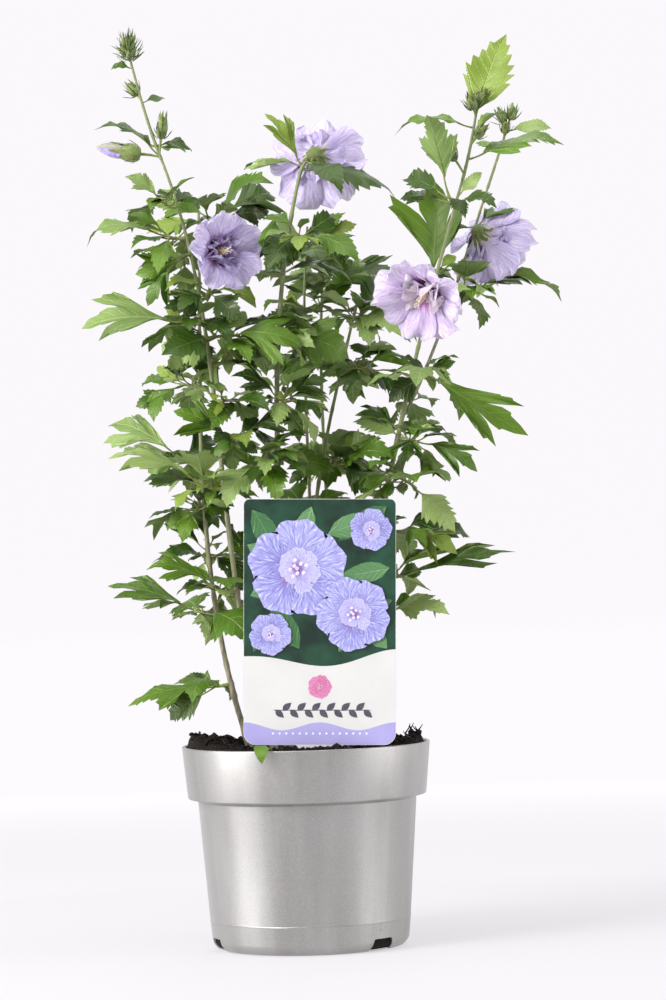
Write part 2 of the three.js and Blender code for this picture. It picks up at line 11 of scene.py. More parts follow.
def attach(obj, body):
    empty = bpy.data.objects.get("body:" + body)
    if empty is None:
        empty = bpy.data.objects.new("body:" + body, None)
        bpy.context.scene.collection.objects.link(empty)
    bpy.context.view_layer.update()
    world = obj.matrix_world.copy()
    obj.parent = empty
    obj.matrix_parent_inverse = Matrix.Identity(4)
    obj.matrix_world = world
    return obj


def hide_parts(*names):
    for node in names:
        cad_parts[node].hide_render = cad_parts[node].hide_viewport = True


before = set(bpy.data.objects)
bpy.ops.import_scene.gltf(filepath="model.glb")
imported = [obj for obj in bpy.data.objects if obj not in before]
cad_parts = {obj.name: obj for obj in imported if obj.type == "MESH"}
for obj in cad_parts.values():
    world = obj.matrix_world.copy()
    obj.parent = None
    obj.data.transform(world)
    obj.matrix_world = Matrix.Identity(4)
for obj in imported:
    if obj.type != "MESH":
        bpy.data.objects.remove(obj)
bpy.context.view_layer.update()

bl_info = {
    "name": "Potted rose of sharon",
    "version": (1, 0, 0),
    "blender": (4, 5, 0),
    "location": "3D View > Sidebar > Shrub",
    "description": "Builds a flowering shrub in a nursery pot around its solid model",
    "category": "Add Mesh",
}

MM = 0.001
UP = np.array([0.0, 0.0, 1.0])

# ---- Sizes shared with the solid model, in millimetres and degrees ----

GAP = 0.3
POT = dict(height=155.5, rim=95, collar=40, collar_foot=91.2, shoulder=83.8, base=75, edge=5,
           wall=1.6, lip=2.6)
NOTCH = dict(foot=24, top=19, height=10, headings=(77, 197, 317))
SOIL = dict(flat=152, flat_radius=52, slope=30, heaps=((182, 46, 13), (353, 18, 11)))
LABEL = dict(width=114, height=184, thickness=0.8, x=11, y=-74, foot=158.2, lean=1.6, corner=9,
             top_corner=4.5, stake_width=34, stake_depth=62, taper=0.8)

# Stems: foot, two handles and tip of a cubic curve, then foot and tip radius.
STEMS = {
    "left_outer": ((-42, -14), (-86, -14, 290), (-72, 10, 434), (-72, 38, 566), (2.6, 1.2)),
    "left_tall": ((-24, -10), (-71, -32, 303), (-45, -40, 462), (-97, -30, 603), (2.8, 1.2)),
    "centre_left": ((-13, 10), (-10, -17, 302), (-29, -25, 451), (8, -25, 590), (3.4, 1.6)),
    "centre": ((3, 26), (17, 34, 290), (-1, 44, 423), (12, 46, 554), (2.0, 1.0)),
    "back": ((16, 40), (32, 60, 283), (11, 82, 403), (24, 92, 528), (2.2, 1.1)),
    "centre_right": ((16, 4), (-12, 0, 273), (20, 6, 386), (49, 10, 493), (2.4, 1.2)),
    "right": ((32, -12), (53, -12, 303), (87, -20, 442), (131, -26, 581), (3.0, 1.3)),
    "right_outer": (("right", 408, 50), (114, 20, 464), (132, 42, 522), (153, 52, 580),
                    (1.6, 1.1)),
}
STEM = dict(flare=0.5, flare_height=9, spacing=5, halvings=40, step=3, sides=14,
            node_step=26, node_reach=2.4, measured=200)

# Leafy shoots: height, heading, pitch, reach of the leading leaf, its roll, number of leaves.
SHOOTS = {
    "left_tall": (
        (567, 195, 48, 40, 65, 4), (543, 185, 22, 82, 30, 4), (530, 220, -38, 48, 55, 4),
        (495, 310, 60, 28, 60, 4), (478, 200, 10, 80, 45, 5), (466, 335, 5, 66, 60, 5),
        (446, 30, 15, 46, 30, 4), (418, 320, 0, 44, 40, 4), (387, 345, 30, 46, 55, 6),
        (352, 195, 34, 80, 40, 5), (273, 205, 35, 66, 40, 5)),
    "left_outer": (
        (560, 20, 30, 72, 60, 6), (473, 275, -35, 46, 60, 4), (432, 155, 15, 46, 30, 4),
        (372, 160, 35, 86, 50, 5), (338, 250, -25, 38, 40, 5), (298, 100, 70, 58, 40, 6),
        (258, 175, 25, 82, 35, 4), (203, 190, 0, 76, 35, 3)),
    "centre_left": (
        (543, 315, -5, 64, 40, 5), (471, 105, -10, 68, 40, 5), (414, 290, 45, 60, 60, 6),
        (376, 225, -25, 54, 40, 6)),
    "centre": ((540, 75, 5, 54, 30, 6), (488, 20, 50, 68, 65, 5), (330, 95, 25, 60, 20, 5)),
    "back": ((515, 65, 60, 60, 20, 6), (450, 110, 30, 68, 20, 6), (372, 50, 25, 66, 20, 6)),
    "centre_right": (
        (480, 65, 35, 60, 30, 6), (446, 330, -20, 50, 50, 6), (367, 315, 20, 60, 65, 6)),
    "right": (
        (563, 235, 66, 74, 65, 4), (506, 100, 70, 88, 0, 3), (437, 345, -20, 100, 60, 4),
        (417, 80, -10, 60, 30, 5), (387, 325, -10, 62, 50, 5), (359, 340, -40, 54, 45, 6),
        (317, 15, 5, 68, 35, 5), (280, 350, 15, 108, 45, 4), (255, 325, 10, 64, 40, 4)),
    "right_outer": ((500, 0, 20, 90, 30, 5),),
}
SHOOT = dict(spur=4, node=2.6, rise=0.4, foot_radius=1.5, tip_radius=0.9)
LEADING = dict(lead=0.97, petiole=0.16, blade=0.74)
SIDE = dict(along=0.8, petiole=0.25, fan=68, jitter=30, length=40, share=0.3, reach=60, spread=22,
            lowest=-20, rise=60, facing=50, bias=0.2)
FILL = dict(shares=(0.15, 0.95), length=27, spread=20, lowest=-35, rise=85, petiole=0.3,
            stalk=0.6, shorter=0.4, tries=9, turn=40, margin=12, first=20, bloom_middle=0.4,
            bloom_reach=1.02)

# Sprays with blooms or buds: stem, height or None at its tip, heading, pitch, length, items.
# leaf: share, heading, pitch, reach, roll. bud: share, heading, pitch, pedicel, length, radius.
# bloom: share, heading, pitch, radius. tuft: share, heading, pitch, length.
SPRAYS = {
    "bud_spray_left": ("left_tall", None, 196, 77, 82, (
        ("bud", 0.02, 184, 10, 15, 35, 8), ("leaf", 0.04, 170, 48, 62, 10),
        ("bud", 0.05, 300, 76, 12, 22, 5.5), ("leaf", 0.16, 12, 12, 34, 40),
        ("leaf", 0.1, 80, 20, 36, 20), ("bud", 0.62, 160, 52, 5, 15, 5.5),
        ("leaf", 0.6, 5, 22, 20, 40), ("leaf", 0.9, 185, 15, 18, 40),
        ("tuft", 1, 180, 84, 24))),
    "bud_spray_right": ("right", None, 0, 80, 53, (
        ("leaf", 0.95, 8, 72, 76, 65), ("leaf", 0.8, 184, 20, 68, 20),
        ("leaf", 0.35, 5, 22, 82, 25), ("leaf", 0.6, 100, 35, 52, 10),
        ("bud", 0.95, 240, 60, 5, 15, 5.5), ("bud", 1, 330, 66, 6, 14, 5),
        ("bud", 0.55, 320, 45, 8, 15, 5), ("bud", 0.1, 200, 58, 12, 13, 4.5))),
    "bud_spray_outer": ("right_outer", None, 10, 70, 54, (
        ("leaf", 0.9, 355, 12, 38, 50), ("leaf", 0.6, 95, 25, 50, 10),
        ("bud", 0.95, 200, 60, 4, 14, 5), ("bud", 1, 20, 72, 3, 14, 5.5),
        ("bud", 0.8, 280, 50, 5, 13, 4.5))),
    "bloom_top": ("centre_left", None, 330, 30, 20, (
        ("bloom", 1, 70, -15, 39), ("leaf", 0.3, 195, 62, 52, 60),
        ("leaf", 0.6, 303, -15, 56, 20), ("leaf", 0.2, 355, -2, 84, 20),
        ("leaf", 0.35, 155, 20, 55, 10))),
    "bloom_left": ("centre_left", 512, 203, 27, 58, (
        ("bloom", 1, 305, 0, 31), ("leaf", 0.1, 345, 18, 66, 20),
        ("leaf", 0.15, 100, 15, 50, 10))),
    "bloom_centre": ("right", 485, 272, 42, 38, (
        ("bloom", 1, 240, -35, 37), ("leaf", 0.2, 315, 30, 44, 40),
        ("leaf", 0.15, 225, -20, 36, 40))),
    "bloom_right": ("right_outer", 550, 270, -30, 20, (
        ("bloom", 1, 20, -35, 38), ("leaf", 0.5, 38, 35, 44, 20),
        ("leaf", 0.4, 178, -5, 44, 10))),
}
LEAF = dict(droop=(22, 38), wide=(0.85, 0.35), small=26, toothed=0.75, deep=0.3)
BLOOM = dict(petals=5, turn=90, open=28, spread=62, twist=10, petal=1.12, claw=1, seat=3,
             inners=3, inner_turn=30, inner=0.55, inner_open=4, inner_width=0.8, cup=6.5,
             column=0.55)
CLEAR = dict(leaf=7.5, stem=6.5, stalk=3.5, sibling=4, near_root=6, pot=7, shrink=0.94,
             lead_turns=(0, 10, -10, 20, -20, 30), turns=(0, 26, -26, 52, -52, 85))
FILL_CLEAR = dict(CLEAR, leaf=3.6, stem=3.4, stalk=1.8, sibling=2.2, near_root=7)
PROBES = np.array((
    (-0.12, 0), (0.1, 0), (0.28, 0.12), (0.28, -0.12), (0.45, 0.28), (0.45, -0.28), (0.5, 0),
    (0.68, 0.12), (0.68, -0.12), (0.84, 0), (1, 0)))
ROOM_POINTS = 40000  # more than the probes of the whole plant

# Tones of the leaves. The pale tone is painted sheen: a lighter green in place of the gloss a leaf
# catches.
FRESH, GROWN, OLD, PAINTED_SHEEN = range(4)


def look(tone, form=None, **sizes):
    """How a single leaf differs from the rule."""
    return dict(sizes, tone=tone, **({"form": form} if form else {}))


# The single leaves that differ, by spray and number. The pale tone gives a leaf painted sheen.
LEAF_LOOKS = {
    "bud_spray_left": {
        0: look(OLD, "toothed", width=0.62, droop=50), 1: look(OLD, "lobed"),
        3: look(OLD, "ovate"), 4: look(GROWN, width=1.25)},
    "bud_spray_right": {
        0: look(FRESH, "toothed", width=1.0, droop=8, pitch=72, length=64, petiole=5),
        1: look(GROWN, "toothed", width=0.6, droop=48),
        2: look(GROWN, "toothed", width=0.9, droop=24),
        3: look(FRESH, "toothed", heading=20, pitch=58, length=34, width=1.1)},
    "bud_spray_outer": {0: look(PAINTED_SHEEN, "ovate", width=0.95)},
    "bloom_top": {
        0: look(FRESH, "deep", width=0.85, droop=16), 1: look(OLD, "ovate", width=1.05, droop=30),
        2: look(OLD, width=0.8)},
    "bloom_left": {0: look(OLD, "deep", width=0.8)},
    "foliage_left_tall_1": {0: look(PAINTED_SHEEN, "lobed", width=0.95)},
    "foliage_left_tall_2": {0: look(PAINTED_SHEEN, "toothed", width=0.62, droop=62)},
    "foliage_left_tall_3": {0: look(GROWN, "deep")},
    "foliage_left_tall_5": {0: look(PAINTED_SHEEN, "deep", width=1.0, length=66)},
    "foliage_left_tall_10": {0: look(PAINTED_SHEEN, "deep", width=0.62, length=66)},
    "foliage_left_outer_1": {0: look(OLD, "deep", droop=55)},
    "foliage_left_outer_4": {0: look(PAINTED_SHEEN, "deep", width=0.7)},
    "foliage_left_outer_7": {0: look(GROWN, "deep", width=0.75)},
    "foliage_left_outer_8": {0: look(GROWN, "lobed", width=0.7)},
    "foliage_centre_left_1": {0: look(GROWN, "lobed")},
    "foliage_right_1": {
        0: look(GROWN, "lobed", width=0.85, droop=12, roll=12, pitch=70),
        1: look(OLD, "toothed", length=26), 2: look(OLD, "toothed", length=40, pitch=34, width=0.8),
        3: look(OLD, "toothed", length=30, heading=320)},
    "foliage_right_2": {
        0: look(GROWN, "deep", width=1.34, droop=6, pitch=80, heading=305, roll=180, length=68,
                petiole=3),
        1: look(OLD, "lobed")},
    "foliage_right_3": {
        0: look(GROWN, "deep", width=0.6, droop=14, roll=66, pitch=-33, length=80, petiole=6)},
    "foliage_right_5": {0: look(GROWN, "deep", width=0.8)},
    "foliage_right_7": {0: look(OLD, "lobed", width=0.9)},
    "foliage_right_8": {0: look(OLD, "deep", width=0.36, droop=10)},
    "foliage_right_outer_1": {0: look(GROWN, "toothed", width=0.5, droop=80)},
}
# Share of the small leaves that a stem's shoots, or a single shoot, have.
SMALL_SHARE = {"left_tall": 0.55, "left_outer": 0.6, "right": 0.6, "foliage_right_1": 0.15}
# How far a bloom is turned from the heading that keeps room for it.
BLOOM_TURNS = {"bloom_right": 30, "bloom_top": 12}

# Half outlines of a leaf, base to tip: share of the midrib, then along and across the edge.
LEAF_FORMS = {
    "lobed": (
        (0, 0, 0.012), (0.03, 0.09, 0.055), (0.06, 0.19, 0.12), (0.09, 0.28, 0.19),
        (0.12, 0.345, 0.262), (0.14, 0.375, 0.25), (0.17, 0.46, 0.335), (0.19, 0.465, 0.3),
        (0.22, 0.585, 0.36), (0.26, 0.56, 0.28), (0.30, 0.60, 0.245), (0.36, 0.545, 0.17),
        (0.46, 0.655, 0.212), (0.52, 0.665, 0.17), (0.60, 0.765, 0.176), (0.66, 0.775, 0.128),
        (0.76, 0.868, 0.11), (0.82, 0.88, 0.068), (1, 1, 0)),
    "ovate": (
        (0, 0, 0.012), (0.05, 0.09, 0.065), (0.10, 0.19, 0.14), (0.15, 0.28, 0.205),
        (0.20, 0.345, 0.262), (0.24, 0.365, 0.238), (0.30, 0.45, 0.275), (0.34, 0.465, 0.24),
        (0.41, 0.545, 0.258), (0.45, 0.56, 0.215), (0.52, 0.64, 0.222), (0.57, 0.655, 0.176),
        (0.63, 0.735, 0.178), (0.68, 0.745, 0.132), (0.74, 0.82, 0.128), (0.80, 0.835, 0.084),
        (0.87, 0.91, 0.066), (0.92, 0.925, 0.036), (1, 1, 0)),
    "deep": (
        (0, 0, 0.012), (0.03, 0.10, 0.05), (0.05, 0.22, 0.115), (0.07, 0.34, 0.19),
        (0.09, 0.45, 0.275), (0.11, 0.555, 0.362), (0.12, 0.575, 0.335), (0.14, 0.665, 0.405),
        (0.15, 0.69, 0.365), (0.17, 0.81, 0.395), (0.20, 0.735, 0.305), (0.24, 0.69, 0.25),
        (0.30, 0.60, 0.175), (0.38, 0.50, 0.112), (0.50, 0.64, 0.16), (0.58, 0.74, 0.158),
        (0.64, 0.755, 0.118), (0.80, 0.88, 0.082), (1, 1, 0)),
    "toothed": (
        (0, 0, 0.012), (0.05, 0.07, 0.07), (0.10, 0.16, 0.16), (0.15, 0.26, 0.24),
        (0.19, 0.37, 0.312), (0.23, 0.36, 0.245), (0.29, 0.46, 0.295), (0.33, 0.505, 0.312),
        (0.38, 0.475, 0.225), (0.45, 0.575, 0.25), (0.48, 0.62, 0.262), (0.53, 0.60, 0.178),
        (0.59, 0.685, 0.195), (0.62, 0.73, 0.2), (0.67, 0.715, 0.134), (0.73, 0.80, 0.138),
        (0.77, 0.84, 0.136), (0.83, 0.835, 0.08), (1, 1, 0)),
    "scale": (
        (0, 0, 0.05), (0.14, 0.16, 0.085), (0.28, 0.3, 0.1), (0.42, 0.44, 0.095),
        (0.56, 0.58, 0.08), (0.7, 0.72, 0.06), (0.84, 0.86, 0.034), (1, 1, 0)),
}


# ---- Finer forms, which only the scene has ----

POT_TRIM = dict(segments=160, sharp=40, ring=(9, 7), ring_rise=1.2, line=22, line_half=0.5,
                line_out=(0.35, 0.05), notch_depth=12, notch_ease=1, notch_round=1.2)
BED = dict(segments=150, rings=46, fade=3, ease=0.3)
SOIL_EDGE = (POT["rim"] - POT["lip"] - (POT["rim"] - POT["collar_foot"])
             * (POT["height"] - SOIL["flat"]) / POT["collar"] - GAP)
LUMPS = dict(layer=3.0, coarse=0.09, octaves=5, coarse_height=0.9, fine=0.4, fine_height=0.45,
             heap=0.9, middle=0.4)
# What lies on the compost, drawn with one seed: loose crumbs, bits of root, crumbs that hide the
# foot of the card, and chips of bark that stand up at one side.
CRUMBS = dict(seed=7, within=(0.12, 0.985), size=(2.0, 0.55), least=0.5, squash=(0.6, 1.2),
              jolt=(0.75, 1.2), lifted=0.25)
ROOTS = dict(count=60, within=(0.3, 0.93), step=7, slack=0.7, rise=(0.2, 3.5),
             radius=(0.15, 0.5), taper=0.6)
CARD_CRUMBS = dict(count=34, size=(1.3, 2.5), beside=20, before=(2.6, 7), stack=(0.2, 2.2),
                   squash=(0.7, 1.1))
CHIPS = dict(count=12, x=(78, 86), y=(-12, 8), low=(-2.6, -2.6, 1.6), high=(2.6, 2.6, 4),
             radius=0.9, taper=0.7)
HANGING_LEAF = dict(root=(-31.0, -84.5, 158.4), heading=262, pitch=16, petiole=2.0, length=24,
                    roll=0, droop=105, width=0.95, form="ovate")

# The print on the card: leaves with place, heading, length and ink, flowers with place, radius
# and turn, and one small flower, a row of leaves and a row of dots below them.
PETAL, INNER, LEAF_INK, PALE_LEAF_INK, HEART, PINK, GREY, WHITE = range(8)
PRINT_LEAVES = (
    (-50, 176, 300, 46, LEAF_INK), (-6, 178, 250, 38, PALE_LEAF_INK), (50, 178, 215, 44, LEAF_INK),
    (-52, 112, 20, 34, PALE_LEAF_INK), (52, 132, 190, 40, PALE_LEAF_INK),
    (-16, 72, 120, 44, LEAF_INK), (50, 72, 130, 36, PALE_LEAF_INK), (6, 158, 20, 44, PALE_LEAF_INK),
    (-50, 70, 60, 32, LEAF_INK), (-54, 150, 330, 30, PALE_LEAF_INK),
    (14, 70, 60, 34, PALE_LEAF_INK), (54, 108, 200, 30, LEAF_INK))
PRINT_FLOWERS = ((-17, 132, 37, 14), (38, 161, 16, 5), (-37, 83, 16, 60), (25, 98, 28, 42))
PRINT_EDGE = dict(inset=0.3, steps=29, waist=64, dip=9, lean=(0.55, 0.3), strip=14, crest=3)
PRINT_SMALL = dict(flower=(0, 43.5, 9, 0), leaves=13, leaf_from=-33, leaf_step=5.5, leaf_row=26,
                   dots=15, dot_from=-35, dot_step=5, dot_row=8.6, dot=0.9)

# Half outlines of a bloom's calyx, of a closed bud and of the petals furled in it, as shares of
# radius and length, and of a small bud at a stem's tip in millimetres.
CALYX_BODY = ((0.3, 0), (0.7, 0.12), (0.92, 0.5), (0.9, 0.9), (0.5, 1))
BUD_BODY = ((0.3, 0), (0.68, 0.06), (0.9, 0.18), (1.0, 0.34), (0.96, 0.5), (0.8, 0.66),
            (0.55, 0.81), (0.28, 0.93), (0.05, 1.0))
BUD_PETALS = ((0.3, 0), (0.66, 0.1), (0.74, 0.22), (0.7, 0.34), (0.58, 0.45), (0.42, 0.55),
              (0.24, 0.63), (0.04, 0.69))
TIP_BUD = ((0.8, 0), (2.0, 1.6), (2.3, 3.6), (1.7, 6), (0.3, 8))
GOLDEN_TURN = 2.4  # radians from one scale, stamen or bud to the next
FLOWER = dict(inners=12, inner_turn=137.5, stamens=46, stigmas=5, scales=5, bracts=8)
TIP = dict(buds=7, bracts=64)
OPENING_BUD = 30  # a longer bud shows its petals

# The studio: lamps with place, aim, width and power, in metres and watts, and the camera.
LAMPS = {
    "key": ((-2.1, -2.0, 2.1), (0, 0, 0.35), 1.4, 100),
    "side": ((-1.9, -0.7, 0.3), (0, 0, 0.15), 1.0, 34),
    "fill": ((2.3, -0.6, 0.4), (0, 0, 0.25), 1.2, 25),
    "top": ((0.1, -0.3, 2.9), (0, 0.3, 0), 2.8, 44),
    "back": ((0.3, 2.2, 2.4), (0, 0.3, 0.2), 1.4, 12),
}
SKY = dict(Color=(0.97, 0.96, 1.0, 1), Strength=0.28)
CAMERA = dict(side=0.026, height=0.341, lens=145.7, sensor=36)
BACKDROP = dict(bend=1000, height=4500, segments=72)


# ---- The growth rule ----

def chance(spray, leaf, trait):
    """A repeatable number from 0 to 1 for each spray, leaf and trait."""
    wave = math.sin(spray * 127.1 + leaf * 311.7 + trait * 74.7) * 43758.5453
    return wave - math.floor(wave)


def picks(spray, leaf):
    """The same numbers for one leaf, by trait alone."""
    return lambda trait: chance(spray, leaf, trait)


def direction(heading, pitch):
    flat = math.cos(math.radians(pitch))
    turn = math.radians(heading)
    return np.array([flat * math.cos(turn), flat * math.sin(turn), math.sin(math.radians(pitch))])


def polar(radius, turn):
    return radius * math.cos(turn), radius * math.sin(turn)


def unit(vector):
    return vector / np.linalg.norm(vector)


def curve_point(handles, share):
    """A point of the Bezier curve with these handles."""
    points = [np.asarray(p, float) for p in handles]
    while len(points) > 1:
        points = [a + (b - a) * share for a, b in zip(points, points[1:])]
    return points[0]


def curve_row(handles, steps):
    return [curve_point(handles, i / steps) for i in range(steps + 1)]


def curve_tangent(handles, share):
    low, high = max(share - 1e-4, 0), min(share + 1e-4, 1)
    return unit(curve_point(handles, high) - curve_point(handles, low))


class Stem:
    """One woody stem, from the compost or from another stem."""

    def __init__(self, name, radii, on_stem, handles):
        self.name, self.radii, self.on_stem, self.handles = name, radii, on_stem, handles
        self.leaves_at = []

    def radius(self, share):
        first, last = self.radii
        height = share * (self.handles[-1][2] - self.handles[0][2])
        flare = 0 if self.on_stem else STEM["flare"] * math.exp(-height / STEM["flare_height"])
        return (first + (last - first) * share) * (1 + flare)

    def share_at(self, height):
        low, high = 0.0, 1.0
        for _ in range(STEM["halvings"]):
            middle = (low + high) / 2
            if curve_point(self.handles, middle)[2] < height:
                low = middle
            else:
                high = middle
        return (low + high) / 2

    def leave(self, height, heading):
        """Where a side twig leaves the stem, square to the bark, and which way it sets off."""
        share = self.share_at(height)
        self.leaves_at.append(share)
        axis = curve_tangent(self.handles, share)
        away = direction(heading, 0)
        away = unit(away - axis * away.dot(axis))
        return curve_point(self.handles, share) + away * (self.radius(share) + GAP), away


@dataclass
class Blade:
    """A leaf, petal or scale: where it starts, which way it goes and how it bends."""

    root: np.ndarray
    heading: float
    pitch: float
    petiole: float
    length: float
    roll: float
    droop: float
    width: float
    form: str
    tone: int = None

    def axes(self):
        along = direction(self.heading, self.pitch)
        level = unit(np.cross(UP, along))
        above = np.cross(along, level)
        roll = math.radians(self.roll)
        across = level * math.cos(roll) + above * math.sin(roll)
        return along, across, np.cross(along, across)

    def at(self, forward, side, lift):
        """Points of the bent blade, from their distances along, across and above the midrib."""
        along, across, above = self.axes()
        reach = self.length / math.radians(self.droop)
        bend = np.maximum(forward, 0) / reach
        ahead = np.minimum(forward, 0) + (reach + lift) * np.sin(bend)
        rise = (reach + lift) * np.cos(bend) - reach
        return (self.root + np.outer(self.petiole + ahead, along) + np.outer(side, across)
                + np.outer(rise, above))

    def probes(self):
        return self.at(PROBES[:, 0] * self.length, PROBES[:, 1] * self.width * self.length,
                       np.zeros(len(PROBES)))


class Spray:
    """A twig with what it carries."""

    def __init__(self, name, number, stem, height, heading, pitch, length):
        onward = curve_tangent(stem.handles, 1)
        if height is None:
            start, away = curve_point(stem.handles, 1) + onward * GAP, onward
        else:
            start, away = stem.leave(height, heading)
        middle = start + away * length * SHOOT["rise"]
        tip = middle + direction(heading, pitch) * length * (1 - SHOOT["rise"])
        self.name, self.number, self.stem = name, number, stem
        self.handles = (start, middle, tip)
        first = stem.radii[1] if height is None else SHOOT["foot_radius"]
        self.radii = (first, SHOOT["tip_radius"])
        self.blades, self.buds, self.blooms, self.tufts = [], [], [], []

    def point(self, share):
        return curve_point(self.handles, share)


class Room:
    """What already stands, as points with their owners; stems are owner -1."""

    def __init__(self):
        self.points = np.zeros((ROOM_POINTS, 3))
        self.owners = np.zeros(ROOM_POINTS, int)
        self.count = 0

    def add(self, points, owner):
        end = self.count + len(points)
        self.points[self.count:end] = points
        self.owners[self.count:end] = owner
        self.count = end

    def near_pot(self, probes, reach):
        x, y, z = probes.T
        label_top = LABEL["foot"] + LABEL["height"] + reach
        in_label = ((np.abs(y - LABEL["y"]) < reach)
                    & (np.abs(x - LABEL["x"]) < LABEL["width"] / 2 + reach) & (z < label_top))
        over = (np.hypot(x, y) < POT["rim"] + reach) & (
            z < POT["height"] + SOIL["heaps"][0][2] + reach)
        return bool((in_label | over | (z < reach)).any())

    def is_clear(self, blade, owner, clear):
        probes = blade.probes()
        if self.near_pot(probes, clear["pot"]):
            return False
        others, owners = self.points[:self.count], self.owners[:self.count]
        for i, probe in enumerate(probes):
            room = np.sqrt(((others - probe) ** 2).sum(1))
            need = np.where(owners == -1, clear["stalk"] if i == 0 else clear["stem"],
                            np.where(owners != owner, clear["leaf"],
                                     0 if i < clear["near_root"] else clear["sibling"]))
            if (room < need).any():
                return False
        return True


def leaf_at(spray, number, root, heading, pitch, petiole, length, facing):
    """A leaf that points sideways is rolled so that its upper face looks to the front."""
    pick = picks(spray.number, number)
    roll = facing * math.cos(math.radians(heading))
    droop = LEAF["droop"][0] + LEAF["droop"][1] * pick(1)
    width = LEAF["wide"][0] + LEAF["wide"][1] * pick(2)
    form = ("ovate" if length < LEAF["small"] else "toothed" if pick(8) > LEAF["toothed"] else
            "deep" if pick(8) < LEAF["deep"] else "lobed")
    return Blade(root, heading, pitch, petiole, length, roll, droop, width, form)


def place(room, spray, blade):
    spray.blades.append(blade)
    room.add(blade.probes(), spray.number)


def try_place(room, spray, blade, turns):
    """Sets a leaf as asked, or turned a little, or not at all where there is no room."""
    length = blade.length
    for turn in turns:
        turned = replace(blade, heading=blade.heading + turn, length=length)
        if room.is_clear(turned, spray.number, CLEAR):
            place(room, spray, turned)
            return
        length *= CLEAR["shrink"]


def petal_blades(root, heading, pitch, radius):
    """The big petals of a bloom, then its inner ones, in a cup that opens outwards."""
    axis = direction(heading, pitch)
    blades = []
    for i in range(BLOOM["petals"] + BLOOM["inners"]):
        inner = i >= BLOOM["petals"]
        turn = math.radians(i * 360 / BLOOM["inners"] + BLOOM["inner_turn"] if inner
                            else i * 360 / BLOOM["petals"] + BLOOM["turn"])
        out = round_about(axis, turn)
        blades.append(petal_blade(
            root + out * (0 if inner else BLOOM["seat"]), axis, out,
            BLOOM["inner_open"] if inner else BLOOM["open"],
            radius * BLOOM["petal"] * (BLOOM["inner"] if inner else 1),
            BLOOM["inner_width"] if inner else 1, "inner" if inner else "petal"))
    return blades


def round_about(axis, turn):
    """The direction square to an axis at this turn about it."""
    side = unit(np.cross(UP, axis))
    return side * math.cos(turn) + np.cross(axis, side) * math.sin(turn)


def petal_blade(seat, axis, out, open_angle, length, width, form, spread=BLOOM["spread"],
                twist=BLOOM["twist"]):
    """A petal or scale that opens away from an axis, with its hollow face turned to it."""
    opened = math.radians(open_angle)
    along = axis * math.cos(opened) + out * math.sin(opened)
    petal = Blade(seat, math.degrees(math.atan2(along[1], along[0])),
                  math.degrees(math.asin(along[2])), BLOOM["claw"], length, 0, spread, width, form)
    inward = unit(axis - along * axis.dot(along))
    _, across, above = petal.axes()
    petal.roll = math.degrees(math.atan2(-inward.dot(across), inward.dot(above))) + twist
    return petal


def grow_stems(room):
    stems = {}
    for name, (foot, first, second, tip, radii) in STEMS.items():
        on_stem = isinstance(foot[0], str)
        if on_stem:
            start, away = stems[foot[0]].leave(foot[1], foot[2])
            start = start + away * radii[0]
        else:
            start = np.array([foot[0], foot[1], SOIL["flat"] + GAP], float)
        handles = (start, *(np.array(p, float) for p in (first, second, tip)))
        stems[name] = Stem(name, radii, on_stem, handles)
    for stem in stems.values():
        fine = curve_row(stem.handles, STEM["measured"])
        length = sum(np.linalg.norm(b - a) for a, b in zip(fine, fine[1:]))
        room.add(curve_row(stem.handles, math.ceil(length / STEM["spacing"])), -1)
    return stems


def grow_sprays(room, stems):
    """The sprays with blooms or buds."""
    sprays = []
    for name, (stem, height, heading, pitch, length, items) in SPRAYS.items():
        spray = Spray(name, len(sprays), stems[stem], height, heading, pitch, length)
        sprays.append(spray)
        for number, (kind, share, turn, tilt, *sizes) in enumerate(items):
            root = spray.point(share)
            if kind == "bloom":
                spray.blooms.append((root, turn, tilt, *sizes))
                for blade in petal_blades(root, turn, tilt, *sizes):
                    room.add(blade.probes(), spray.number)
            elif kind == "tuft":
                spray.tufts.append((root, turn, tilt, *sizes))
            elif kind == "bud":
                spray.buds.append((root, turn, tilt, *sizes))
            else:
                reach, roll = sizes
                place(room, spray, leaf_at(
                    spray, number, root, turn, tilt, reach * LEADING["petiole"],
                    reach * (LEADING["petiole"] / 2 + LEADING["blade"]), roll))
    return sprays


def grow_shoots(room, stems, sprays):
    """The leafy shoots, first each with its leading leaf, then the leaves at their sides."""
    shoots = []
    for stem, rows in SHOOTS.items():
        for i, (height, heading, pitch, reach, roll, count) in enumerate(rows):
            length = SHOOT["spur"] + SHOOT["node"] * count
            spray = Spray(f"foliage_{stem}_{i + 1}", len(sprays), stems[stem], height, heading,
                          pitch, length)
            sprays.append(spray)
            shoots.append(spray)
            try_place(room, spray, leaf_at(
                spray, 0, spray.point(LEADING["lead"]), heading, pitch,
                reach * LEADING["petiole"], reach * LEADING["blade"], roll), CLEAR["lead_turns"])
    rows = [row for rows in SHOOTS.values() for row in rows]
    for spray, (_, heading, _, reach, _, count) in zip(shoots, rows):
        for number in range(1, count):
            pick = picks(spray.number, number)
            side = 1 if number % 2 else -1
            turn = side * SIDE["fan"] * math.ceil(number / 2) + SIDE["jitter"] * (pick(4) - 0.5)
            length = (SIDE["length"] + SIDE["share"] * (reach - SIDE["reach"])
                      + SIDE["spread"] * (pick(5) - 0.5))
            pitch = SIDE["lowest"] + SIDE["rise"] * pick(6)
            facing = SIDE["facing"] * (2 * pick(7) - SIDE["bias"])
            root = spray.point(1 - SIDE["along"] * number / count)
            try_place(room, spray, leaf_at(spray, number, root, heading + turn, pitch,
                                           length * SIDE["petiole"], length, facing),
                      CLEAR["turns"])
    return shoots


